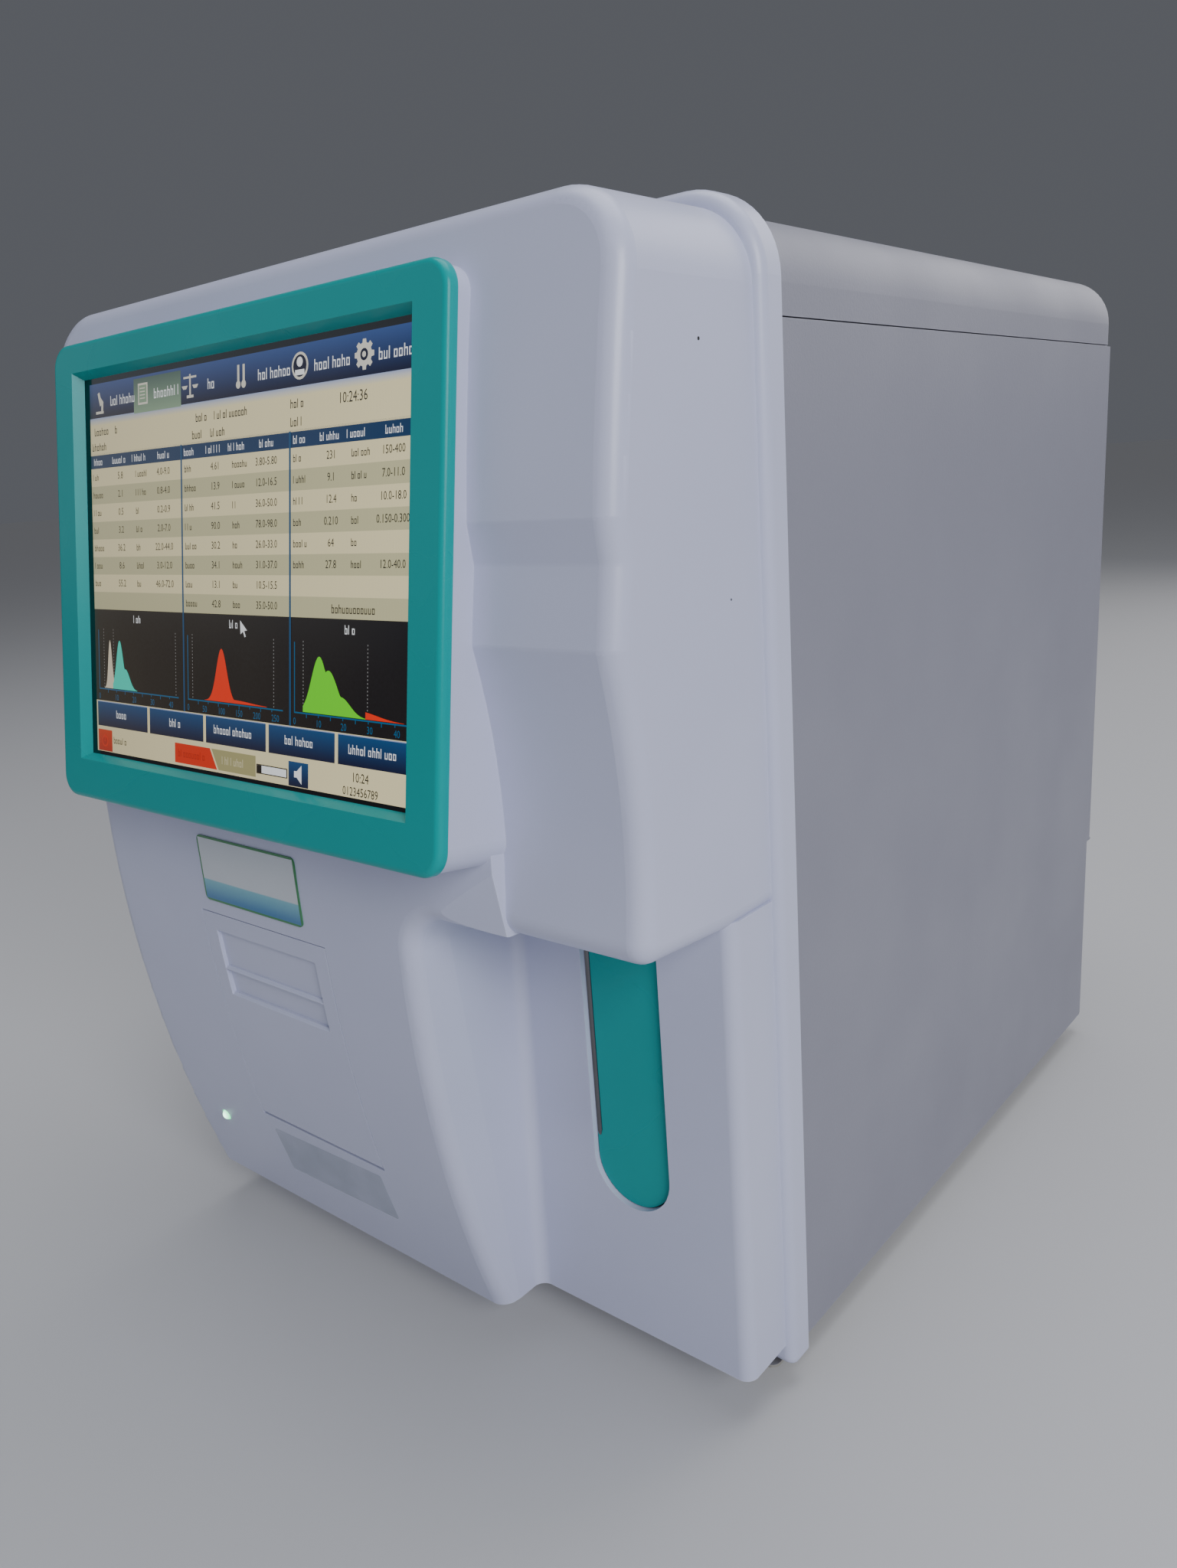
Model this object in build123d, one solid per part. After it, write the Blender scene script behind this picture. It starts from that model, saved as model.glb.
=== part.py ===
from build123d import *
import os

# Frame while building: x to the right, y to the back, z up, mm.
# z = 0 is the floor, y = 0 the front edge of the metal cabinet.

# cabinet
cabinet_half = 164.0
cabinet_depth = 366.0
cabinet_top = 462.0
cabinet_bottom = 13.0
cabinet_corner = 25.0
sheet = 1.2
top_cover_drop = 36.0
rear_flange = 8.0
rear_flange_low = 132.0
plate_seam = 0.2
rear_round = 10.0
seam_gap = 0.5
foot_height = 12.0
foot_radius = 11.0

# front cover
cover_half = 166.0
cover_wall = 3.5
cover_bottom = 23.0
cover_corner = 27.0
rim_ledge = 3.5
rim_half = cover_half + rim_ledge
rim_top = 467.5
rim_bottom = 12.5
rim_depth = 13.0
rim_corner = 30.0
rim_bead = 4.5
panel_gap = 0.3
head_bottom = 217.5
head_top = 462.0
recess_face = 40.0
recess_left_low = 54.2
recess_left_high = 58.6
recess_corner = 14.0
recess_roof_rise = 0.08
head_floor = head_bottom + cover_wall + 54.0 * recess_roof_rise
recess_band_y = -52.0
recess_band_lean = 7.0
recess_band_taper = 9.0
column_left = 104.5
front_round = 7.5
lip_round = 9.0
crease_round = 4.0
shoulder_round = 120.0
crease_low = 320.0
shelf_left = 62.0
shelf_sink = 5.6
shelf_y = 90.6
shelf_height = 32.0
recess_round = 5.6

# screen
screen_tilt = 9.44
screen_right = 106.5
screen_foot_y = -118.3
screen_foot_z = 252.0
bezel_width = 251.0
bezel_height = 198.0
bezel_thick = 4.5
bezel_corner = 10.0
opening_left = 19.0
opening_right = 18.5
opening_low = 20.4
opening_high = 15.1
opening_bevel = 2.4
bezel_edge_round = 2.5
glass_thick = 1.8
glass_margin = 4.0
lcd_side_border = 9.25
lcd_low_border = 3.75
lcd_thick = 8.0
housing_inset = 0.6
housing_depth = 30.0

# printer
door_left = -89.2
door_width = 90.8
door_low = 83.0
door_height = 114.0
door_gap = 0.5
door_foot_gap = 1.6
door_wall = 3.0
window_width = 72.5
window_height = 18.5
window_low = 86.5
window_deep = 1.9
grip_height = 12.5
grip_low = 72.5
grip_deep = 2.3
ledge_bevel = 1.2
slit_height = 1.2
slit_drop = 1.5
slit_inset = 6.0
pin_radius = 1.2
door_pin_y = -79.7
pin_length = 2.6
hinge_clearance = 0.1
bay_depth = 78.0
bay_wall = 2.0
paper_radius = 24.0
paper_width = 57.0
core_radius = 6.0
platen_radius = 4.5

# aspirate key and probe
lamp_x = -132.2
lamp_z = 65.9
lamp_radius = 3.0
lamp_face = -75.2
key_left = 92.5
key_right = 131.0
key_low = 83.3
key_gap = 0.6
key_thick = 3.0
key_recess = 2.3
key_top = 232.0
key_pin_radius = 1.5
probe_x = 111.7
probe_y = -57.5
probe_tip = 127.5
probe_radius = 1.0
probe_bore = 0.5
probe_stroke = 90.0
hub_radius = 4.0
rod_spacing = 30.0
rod_radius = 3.0
screw_radius = 3.0
slide_clearance = 0.05
carriage_height = 18.0
motor_size = 28.0
motor_height = 30.0

# deck and fluidics
deck_x = 10.0
foot_inset = 26.0
foot_x = (foot_inset - cabinet_half, cabinet_half - foot_inset)
foot_y = (28.0, 336.0)
bath_radius = 13.0
bath_height = 46.0
plunger_radius = 4.0
valve_size = 16.0
valve_count = 8
pump_radius = 16.0
fan_size = 80.0
fan_thick = 25.0
fan_z = 330.0
fan_hole = 35.75
fan_x = 69.0 - cabinet_half
port_z = 70.0
inlet_x = 44.0 - cabinet_half
rocker_x = inlet_x + 36.0
ground_x = 30.0

PARTS = {}


def add(name, shape):
    PARTS[name] = shape


def box(x0, x1, y0, y1, z0, z1):
    size = (x1 - x0, y1 - y0, z1 - z0)
    return Pos((x0 + x1) / 2, (y0 + y1) / 2, (z0 + z1) / 2) * Box(*size)


def rod(x, y, z0, z1, radius):
    return Pos(x, y, (z0 + z1) / 2) * Cylinder(radius, z1 - z0)


def rod_y(x, z, y0, y1, radius):
    return Pos(x, (y0 + y1) / 2, z) * Rot(90, 0, 0) * Cylinder(radius, y1 - y0)


def rod_x(y, z, x0, x1, radius):
    return Pos((x0 + x1) / 2, y, z) * Rot(0, 90, 0) * Cylinder(radius, x1 - x0)


def yz(y, z):
    return Vector(0, y, z)


def arched_front(half, bottom, top, corner, y0, y1, low_corner=0.0):
    """Slab seen from the front with two round top corners."""
    plate = Pos(0, 0, (top + bottom) / 2) * Rot(90, 0, 0) * Box(2 * half, top - bottom, y1 - y0)
    plate = Pos(0, (y0 + y1) / 2, 0) * plate
    upper = plate.edges().filter_by(Axis.Y).sort_by(Axis.Z)[-2:]
    plate = fillet(upper, corner)
    if low_corner:
        plate = fillet(plate.edges().filter_by(Axis.Y).sort_by(Axis.Z)[:2], low_corner)
    return plate


def front_outline(edges):
    """Side outline of a front block; edges run up its front from the foot."""
    back = -rim_depth + 1
    crest = head_top + 8
    foot, peak = edges[0] @ 0, edges[-1] @ 1
    roof = Line(peak, yz(back, crest))
    rear = Line(yz(back, crest), yz(back, foot.Z))
    return edges + [roof, rear, Line(yz(back, foot.Z), foot)]


def column_edges():
    """Side outline of the column, from the recess up over its lip, band and crease."""
    root = yz(-recess_face, head_bottom)
    lip = yz(-92.2, head_bottom + recess_roof_rise * (92.2 - recess_face))
    band_low = yz(-96.0, 327)
    band_high = yz(-91.6, 353)
    return [Line(root, lip),
            ThreePointArc(lip, yz(-88.9, 276), band_low),
            Line(band_low, band_high)] + crown_edges(band_high)


def crown_edges(start):
    """Side outline of the head's upper front, shared by column and bulge."""
    crease = yz(-93.2, 366.5)
    return [Line(start, crease), ThreePointArc(crease, yz(-85.8, 415), yz(-74.4, head_top + 8))]


def bulge_edges():
    shoulder = yz(-96, 240)
    brow = yz(-91.6, 353)
    return [ThreePointArc(yz(-64, cover_bottom), yz(-88.5, 125), shoulder),
            Line(shoulder, brow)] + crown_edges(brow)


def soft_extrude(edges, x0, x1, inset):
    outline = Face(Wire(front_outline(edges)))
    creases = [v for v in outline.vertices() if v.Y < -66 and crease_low < v.Z < head_top]
    outline = fillet(creases, crease_round)
    shoulders = [v for v in outline.vertices() if v.Y < -66 and head_bottom + 15 < v.Z < crease_low - 50]
    if shoulders:
        outline = fillet(shoulders, shoulder_round)
    lips = [v for v in outline.vertices() if v.Y < -66 and head_bottom < v.Z < head_bottom + 10]
    if lips:
        outline = fillet(lips, lip_round)
    if inset:
        outline = offset(outline, -inset, kind=Kind.INTERSECTION)
    return Pos(x0, 0, 0) * extrude(outline, x1 - x0, dir=(1, 0, 0))


def recess_cutter(inset):
    """Space of the sample recess: a leaning left wall that opens out in a band towards the front."""
    low, reach, right = -20, 115, 200
    lean = (recess_left_high - recess_left_low) / (head_bottom - cover_bottom)
    roof = head_bottom + inset
    left_low = recess_left_low - inset + lean * (low - cover_bottom)
    left_high = recess_left_low - inset + lean * (roof - cover_bottom)
    back = -recess_face + inset
    face = make_face(Polyline((left_low, back, low), (left_high, back, roof), (right, back, roof),
                              (right, back, low), close=True))
    corner = face.vertices().sort_by(lambda v: v.X - v.Z)[0]
    face = fillet(corner, recess_corner + inset)
    cutter = extrude(face, reach, dir=(0, -1, recess_roof_rise))
    ends = cutter.faces().sort_by(Axis.Y)[-1]
    inner = [e for e in ends.edges() if e.center().X < recess_left_high + recess_corner]
    cutter = fillet(inner, recess_round)
    tilt = Plane(origin=(0, recess_band_y + inset, 0), x_dir=(1, 0, 0),
                 z_dir=Vector(0, -1, 0).rotate(Axis.X, recess_band_lean))
    opening = section(cutter, section_by=tilt)
    return cutter + extrude(opening.faces()[0], 60, dir=tilt.z_dir, taper=-recess_band_taper)


def bulge_block(inset):
    block = soft_extrude(bulge_edges(), -cover_half + inset, column_left - inset, inset)
    return (block & face_outline(inset)) - recess_cutter(inset)


def shelf_wedge(inset):
    """Space in front of the bulge's shelf under the screen, which sinks behind the column's lip."""
    slope = shelf_sink / (column_left - shelf_left)
    rise = shelf_sink / shelf_height
    front = Vector(slope, -1, -rise)
    place = Plane(origin=(column_left, -shelf_y + inset, head_bottom), x_dir=(1, slope, 0), z_dir=front)
    return place * Pos((shelf_left - column_left) / 2 + 5, 0, 15) * Box(column_left - shelf_left + 10, 200, 30)


def column_block(inset):
    block = soft_extrude(column_edges(), column_left - inset - 1, cover_half - inset, inset)
    return block & face_outline(inset)


def face_outline(inset):
    return arched_front(cover_half - inset, cover_bottom + inset, head_top - inset, cover_corner - inset,
                        -140, 0)


def lower_block(inset):
    block = box(recess_left_low - 10, cover_half - inset, -recess_face + inset, -rim_depth + 1 - inset,
                cover_bottom + inset, head_bottom + 3 + inset)
    return block & face_outline(inset)


def cover_body(inset):
    """The cover's block without the screen housing, walls moved in by inset."""
    if inset:
        return (bulge_block(inset) - shelf_wedge(inset)) + column_block(inset) + lower_block(inset)
    bulge = bulge_block(0)
    bulge = fillet(front_ridge(bulge, column_left), front_round) - shelf_wedge(0)
    column = column_block(0)
    column = fillet(front_ridge(column, column_left - 1), front_round)
    lower = lower_block(0)
    upright = [e for e in lower.edges().filter_by(Axis.Z) if e.center().X > cover_half - 1
               and e.center().Y < -recess_face + 1]
    return bulge + column + fillet(upright, recess_round)


def screen_place(u, v, w):
    """Point or solid placed from the screen's own frame: u right, v up, w out."""
    foot = Location((screen_right, screen_foot_y, screen_foot_z), (90 - screen_tilt, 0, 0))
    return foot * Pos(u, v, w)


def screen_block(u0, u1, v0, v1, w0, w1, corner=0.0):
    block = Box(u1 - u0, v1 - v0, w1 - w0)
    if corner:
        block = fillet(block.edges().filter_by(Axis.Z), corner)
    return screen_place((u0 + u1) / 2, (v0 + v1) / 2, (w0 + w1) / 2) * block


def housing(inset):
    return screen_block(-bezel_width + housing_inset + inset, -housing_inset - inset,
                        housing_inset + inset, bezel_height - housing_inset - inset,
                        -housing_depth, -inset, bezel_corner - inset)


def key_shape(grow, y0, y1, top):
    width = key_right - key_left + 2 * grow
    radius = width / 2
    middle = (key_left + key_right) / 2
    foot = key_low - grow + radius
    return box(middle - radius, middle + radius, y0, y1, foot, top) + rod_y(middle, foot, y0, y1, radius)


def front_ridge(shape, joint):
    """Edges round the front of a block, without its foot and the side where it joins its neighbour."""
    fronts = [f for f in shape.faces() if f.center().Y < -56 and f.normal_at().Y < -0.8]
    seen = [e for f in fronts for e in f.edges()]
    chosen = []
    for edge in seen:
        middle = edge.center()
        shared = sum(1 for other in seen if (other.center() - middle).length < 0.01)
        if shared > 1 or abs(middle.Z - cover_bottom) < 1 or abs(middle.X - joint) < 1.1:
            continue
        chosen.append(edge)
    return chosen


def make_cover():
    """The moulded front: rim, head, tilted housing, column, bulge and recess."""
    outer = cover_body(0) + housing(0)
    rim = arched_front(rim_half, rim_bottom, rim_top, rim_corner, -rim_depth, -panel_gap, 3.0)
    rim = fillet(rim.faces().sort_by(Axis.Y)[0].edges(), rim_bead)
    outer += rim
    cavity = cover_body(cover_wall)
    back = arched_front(cover_half - cover_wall, cover_bottom + cover_wall, head_top - cover_wall,
                        cover_corner - cover_wall, -rim_depth - 8, 1, 2.0)
    cavity += back
    cavity += housing(cover_wall)
    shell = outer - cavity
    shell -= glass_block(0.3, -cover_wall - 1, 1)
    shell -= door_zone(0, 0)
    shell -= key_shape(0, -recess_face, -recess_face + cover_wall + 1, head_bottom + cover_wall + 1)
    shell -= rod(probe_x, probe_y, head_bottom - 1, head_floor, hub_radius + 2)
    shell -= lamp_rod(lamp_radius + 0.1, -110, -50)
    pin_y, pin_z = hinge_line()
    reach = pin_length - door_gap + 0.3
    shell -= rod_x(pin_y, pin_z, door_left - reach, door_left + door_width + reach, pin_radius + hinge_clearance)
    return shell


def glass_block(grow, w0, w1):
    u0 = -bezel_width + opening_left - glass_margin - grow
    u1 = -opening_right + glass_margin + grow
    v0 = opening_low - glass_margin - grow
    v1 = bezel_height - opening_high + glass_margin + grow
    return screen_block(u0, u1, v0, v1, w0, w1)


def door_zone(gap, foot_gap):
    return box(door_left + gap, door_left + door_width - gap, -110, -60, door_low + foot_gap,
               door_low + door_height - gap)


def lamp_rod(radius, y0, y1):
    return rod_y(lamp_x, lamp_z, y0, y1, radius)


def make_bezel():
    ring = Box(bezel_width, bezel_height, bezel_thick)
    ring = fillet(ring.edges().filter_by(Axis.Z), bezel_corner)
    ring = fillet(ring.faces().sort_by(Axis.Z)[-1].edges(), bezel_edge_round)
    ring = screen_place(-bezel_width / 2, bezel_height / 2, bezel_thick / 2) * ring
    width = bezel_width - opening_left - opening_right
    height = bezel_height - opening_low - opening_high
    middle_u = (opening_left - opening_right - bezel_width) / 2
    middle_v = (bezel_height + opening_low - opening_high) / 2
    small = Rectangle(width, height)
    large = Rectangle(width + 2 * opening_bevel, height + 2 * opening_bevel)
    funnel = loft([small.face(), Pos(0, 0, bezel_thick) * large.face()])
    ring -= screen_place(middle_u, middle_v, 0) * funnel
    return ring


def make_lcd():
    u_mid = (opening_left - opening_right - bezel_width) / 2
    v_mid = (bezel_height + opening_low - opening_high) / 2
    back = -cover_wall - 0.4
    lcd_width = bezel_width - opening_left - opening_right + 2 * lcd_side_border
    lcd_height = bezel_height - opening_low - opening_high + 2 * lcd_low_border
    module = screen_block(u_mid - lcd_width / 2, u_mid + lcd_width / 2, v_mid - lcd_height / 2,
                          v_mid + lcd_height / 2, back - lcd_thick, back, 2)
    driver = screen_block(u_mid - 60, u_mid + 60, v_mid - 70, v_mid - 20, back - lcd_thick - 3, back - lcd_thick)
    glass = glass_block(0, -glass_thick, 0)
    plate_front = back - lcd_thick - 3.4
    plate = screen_block(u_mid - 95, u_mid + 95, v_mid - 60, v_mid + 60, plate_front - 1.2, plate_front, 4)
    plate -= screen_block(u_mid - 50, u_mid + 50, v_mid - 25, v_mid + 30, plate_front - 2, plate_front + 1, 6)
    for side in (-1, 1):
        edge = u_mid + side * 95
        low, high = min(edge, edge - side * 1.2), max(edge, edge - side * 1.2)
        plate += screen_block(low, high, v_mid - 50, v_mid + 50, plate_front - 10, plate_front)
    return glass, module + driver, plate


def ledge_line_y(low):
    """Depth that parts the skin's outer edges from the inner ones at a height on the door."""
    skin = cover_body(0) & box(door_left, door_left + 1, -110, -60, door_low + low, door_low + low + 0.5)
    return skin.bounding_box().min.Y + 1


def make_door():
    door = cover_body(0) & door_zone(door_gap, door_foot_gap)
    door -= cover_body(door_wall)
    left = door_left + (door_width - window_width) / 2
    window = box(left, left + window_width, -110, -60, door_low + window_low, door_low + window_low + window_height)
    grip = box(left, left + window_width, -110, -60, door_low + grip_low, door_low + grip_low + grip_height)
    door -= window - cover_body(window_deep)
    door -= grip - cover_body(grip_deep)
    ledges = [e for e in door.edges().filter_by(Axis.X) if is_ledge(e, window_low) or is_ledge(e, grip_low)]
    door = chamfer(ledges, ledge_bevel)
    slit_z = door_low + grip_low + grip_height - slit_drop
    door -= box(left + slit_inset, left + window_width - slit_inset, -110, -60, slit_z, slit_z + slit_height)
    return door


def is_ledge(edge, low):
    """Outer edge of a recess in the door, at its lower side."""
    middle = edge.center()
    return abs(middle.Z - door_low - low) < 0.1 and middle.Y < ledge_line_y(low)


def hinge_line():
    """Door pin centre, inside the skin at the door's foot."""
    return door_pin_y, door_low + door_foot_gap + 2.0


def make_door_pins(door):
    y, z = hinge_line()
    right = door_left + door_width
    door += rod_x(y, z, door_left + door_gap - pin_length, door_left + 4, pin_radius)
    return door + rod_x(y, z, right - 4, right - door_gap + pin_length, pin_radius)


def make_bay():
    x0, x1 = door_left - 4.5, door_left + door_width + 4.5
    z0, z1 = door_low - 4, door_low + door_height + 4
    y1 = -82 + bay_depth
    bay = box(x0, x1, -100, y1, z0, z1)
    bay -= box(x0 + bay_wall, x1 - bay_wall, -101, y1 - bay_wall, z0 + bay_wall, z1 - bay_wall)
    bay &= cover_body(cover_wall + 0.3)
    return bay


def make_printer():
    middle = door_left + door_width / 2
    left, right = middle - paper_width / 2, middle + paper_width / 2
    roll_y, roll_z = -36, door_low + paper_radius + 8
    roll = rod_x(roll_y, roll_z, left, right, paper_radius) - rod_x(roll_y, roll_z, left - 1, right + 1, core_radius)
    shaft = rod_x(roll_y, roll_z, left - 8, right + 8, core_radius - slide_clearance)
    platen_y, platen_z = -74, door_low + 78
    platen = rod_x(platen_y, platen_z, left, right, platen_radius)
    platen += rod_x(platen_y, platen_z, left - 4.5, right + 4.5, 1.6)
    head = box(left - 2, right + 2, -66, -44, door_low + 66, door_low + 92)
    head -= box(left + 8, right - 8, -56, -43, door_low + 70, door_low + 88)
    for x in (left - 5, right + 2):
        cheek = box(x, x + 3, -79, -44, door_low + 66, door_low + 92)
        cheek += box(x, x + 3, -46, -26, door_low + 20, door_low + 92)
        cheek -= rod_x(platen_y, platen_z, x - 1, x + 4, 1.65)
        cheek -= rod_x(roll_y, roll_z, x - 1, x + 4, core_radius)
        head += cheek
    back_y = -82 + bay_depth - bay_wall
    head += box(left, right, -46, back_y, door_low + 94, door_low + 97)
    head += box(left, right, -46, -44, door_low + 88, door_low + 97)
    return roll, shaft, platen, head


def make_key():
    y0 = -recess_face + key_recess
    plate = key_shape(-key_gap, y0, y0 + key_thick, key_top)
    middle = (key_left + key_right) / 2
    pin_z = key_top - 4
    pin_y = y0 + key_thick / 2
    for x in (middle - 14, middle + 10):
        plate += box(x, x + 4, pin_y, pin_y + 6, pin_z - 6, pin_z + 4)
    axle_y = pin_y + 3.5
    plate -= rod_x(axle_y, pin_z, key_left, key_right, key_pin_radius + slide_clearance)
    plate += rod_y(middle, key_low + 60, y0 + key_thick - 0.5, y0 + key_thick + 4, 3)
    wall_y = -recess_face + cover_wall
    ear = (key_right - key_left) / 2 + 2
    bracket = box(middle - ear, middle + ear, wall_y + 13, wall_y + 14.5, pin_z - 4, pin_z + 8)
    for side in (-1, 1):
        x0, x1 = sorted((middle + side * ear, middle + side * (ear + 1.5)))
        bracket += box(x0, x1, wall_y, wall_y + 14.5, pin_z - 38, pin_z + 8)
        x0, x1 = sorted((middle + side * ear, middle + side * (ear + 9)))
        bracket += box(x0, x1, wall_y, wall_y + 1.5, pin_z - 38, pin_z - 14)
    pin = rod_x(axle_y, pin_z, middle - ear - 3, middle + ear + 3, key_pin_radius)
    bracket -= pin
    switch_y = y0 + key_thick + 5.8
    switch = box(middle - 10, middle + 10, switch_y + 2, switch_y + 8, key_low + 48, key_low + 68)
    switch += box(middle - 26, middle + 26, switch_y + 8, switch_y + 9.5, key_low + 44, key_low + 72)
    for side in (-1, 1):
        x0, x1 = sorted((middle + side * 24.5, middle + side * 26))
        switch += box(x0, x1, wall_y, switch_y + 9.5, key_low + 44, key_low + 72)
    switch += rod_y(middle, key_low + 60, switch_y, switch_y + 3, 1.5)
    return plate, bracket, pin, switch


def make_probe():
    low = head_floor
    rest_z = low + 50
    needle = rod(probe_x, probe_y, probe_tip + 2, rest_z + carriage_height + 14, probe_radius)
    needle += Pos(probe_x, probe_y, probe_tip + 1) * Cone(0.5, probe_radius, 2)
    needle -= rod(probe_x, probe_y, probe_tip - 1, rest_z + carriage_height + 15, probe_bore)
    needle += rod(probe_x, probe_y, rest_z + carriage_height, rest_z + carriage_height + 6, hub_radius) \
        - rod(probe_x, probe_y, rest_z, rest_z + 40, probe_radius)
    block = rod(probe_x, probe_y, low + 0.3, low + 16, 8) - rod(probe_x, probe_y, low, low + 20, probe_radius + 0.4)
    block += box(probe_x - 11, probe_x + 11, probe_y - 8, probe_y + 12, low + 0.3, low + 4)
    block -= rod(probe_x, probe_y, low, low + 20, probe_radius + 0.4)
    block += rod_y(probe_x, low + 10, probe_y + 7, probe_y + 14, 2)
    rail_y = probe_y + 40
    floor = key_top + 14
    top = rest_z + probe_stroke + carriage_height + 20
    rods = []
    for x in (probe_x - rod_spacing / 2, probe_x + rod_spacing / 2):
        rods.append(rod(x, rail_y, floor + 3.5, top, rod_radius))
    carriage = box(probe_x - 22, probe_x + 22, probe_y - 6, rail_y + 7, rest_z, rest_z + carriage_height)
    for x in (probe_x - rod_spacing / 2, probe_x + rod_spacing / 2):
        carriage -= rod(x, rail_y, rest_z - 1, rest_z + 30, rod_radius + slide_clearance)
    carriage -= rod(probe_x, rail_y, rest_z - 1, rest_z + 30, screw_radius + slide_clearance)
    carriage -= rod(probe_x, probe_y, rest_z - 1, rest_z + 30, probe_radius)
    carriage = carriage - box(probe_x - 23, probe_x - 9, probe_y - 7, probe_y + 9, rest_z - 1, rest_z + 30)
    carriage = carriage - box(probe_x + 9, probe_x + 23, probe_y - 7, probe_y + 9, rest_z - 1, rest_z + 30)
    screw = rod(probe_x, rail_y, floor + 4, top + 1, screw_radius)
    frame = box(probe_x - 22, probe_x + 22, rail_y - 8, rail_y + 12, floor, floor + 3.5)
    frame += box(probe_x - 22, probe_x + 22, rail_y - 8, rail_y + 12, top, top + 3)
    frame += box(probe_x - 22, probe_x + 22, rail_y + 10, rail_y + 12, floor, top + 3)
    frame += box(deck_x + 1.5, probe_x - 21, rail_y + 10, rail_y + 12, top - 60, top - 20)
    frame += box(deck_x + 1.5, deck_x + 3.5, rail_y + 10, 50, top - 60, top - 20)
    frame -= rod(probe_x, rail_y, top - 1, top + 4, 9)
    motor = box(probe_x - motor_size / 2, probe_x + motor_size / 2, rail_y - motor_size / 2,
                rail_y + motor_size / 2 - 6, top + 3.3, top + 3 + motor_height)
    motor = chamfer(motor.edges().filter_by(Axis.Z), 3)
    motor += rod(probe_x, rail_y, top + 1.3, top + 4, 8)
    return needle, block, rods, carriage, screw, frame, motor


def lid(half, bottom, top, corner, y0, y1, rounding):
    slab = arched_front(half, bottom, top, corner, y0, y1)
    rear = [e for e in slab.edges() if abs(e.center().Y - y1) < 0.1 and e.center().Z > bottom + 1]
    return fillet(rear, rounding)


def make_top_cover():
    seam = cabinet_top - top_cover_drop + seam_gap / 2
    back = cabinet_depth + rear_flange
    outer = lid(cabinet_half, seam, cabinet_top, cabinet_corner, 0, back, rear_round)
    inner = lid(cabinet_half - sheet, seam - 5, cabinet_top - sheet, cabinet_corner - sheet, -5,
                back - sheet, rear_round - sheet)
    inner -= box(-200, 200, back - 8, back + 5, seam - 20, seam - 0.1)
    return outer - inner


def make_side(side):
    """Side panel with return flanges; side is +1 on the right, -1 on the left."""
    top = cabinet_top - top_cover_drop - seam_gap / 2
    outer = side * cabinet_half
    inner = side * (cabinet_half - 10)
    pan = box(min(outer, inner), max(outer, inner), 0, cabinet_depth, cabinet_bottom, top)
    upright = pan.edges().filter_by(Axis.Z).sort_by(lambda e: -side * e.center().X)[:2]
    pan = fillet(upright, 1.5)
    cut_outer = side * (cabinet_half - sheet)
    cut_inner = side * (cabinet_half - 11)
    pan -= box(min(cut_outer, cut_inner), max(cut_outer, cut_inner), sheet, cabinet_depth - sheet,
               cabinet_bottom + sheet, top - sheet)
    return pan


def vents(x0, z0, columns, rows, pitch_x, pitch_z, length):
    slots = []
    for column in range(columns):
        for row in range(rows):
            slots.append(Pos(x0 + column * pitch_x, 0, z0 + row * pitch_z) * Box(length, 40, 3))
    return slots


def make_rear():
    face = cabinet_depth + rear_flange
    half = cabinet_half - 0.6
    top = cabinet_top - top_cover_drop - seam_gap
    raised = box(-half, half, cabinet_depth + 0.3, face, rear_flange_low, top)
    raised = fillet(raised.edges().filter_by(Axis.Z).sort_by(Axis.Y)[-2:], 2)
    raised -= box(-half + sheet, half - sheet, cabinet_depth, face - sheet, rear_flange_low - 1, top - sheet)
    ramp = box(-half, half, cabinet_depth + panel_gap, face, rear_flange_low - sheet, rear_flange_low)
    panel = raised + ramp
    panel -= rod_y(fan_x, fan_z, cabinet_depth - 5, face + 5, fan_size / 2 - 3)
    for slot in vents(30, 250, 4, 9, 30, 12, 22):
        panel -= Pos(0, face, 0) * slot
    return panel


def make_port_plate():
    """Flat plate under the raised rear panel, with the holes for inlet, switch, sockets and fittings."""
    half = cabinet_half - 0.6
    y0 = cabinet_depth + panel_gap
    plate = box(-half, half, y0, y0 + sheet, cabinet_bottom, rear_flange_low - sheet - plate_seam)
    for opening in rear_openings():
        plate -= opening
    return plate


def rear_openings():
    y0, y1 = cabinet_depth - 2, cabinet_depth + 4
    cuts = [box(inlet_x - 14, inlet_x + 14, y0, y1, port_z - 10.2, port_z + 10.2),
            box(rocker_x - 6.6, rocker_x + 6.6, y0, y1, port_z - 10, port_z + 10),
            box(-44, -8, y0, y1, port_z - 9, port_z + 9)]
    for x in fitting_places():
        cuts.append(rod_y(x, port_z + 10, y0, y1, 4.2))
    cuts.append(rod_y(ground_x, port_z, y0, y1, 2.2))
    return cuts


def fitting_places():
    return [62 + 22 * place for place in range(4)]


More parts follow.
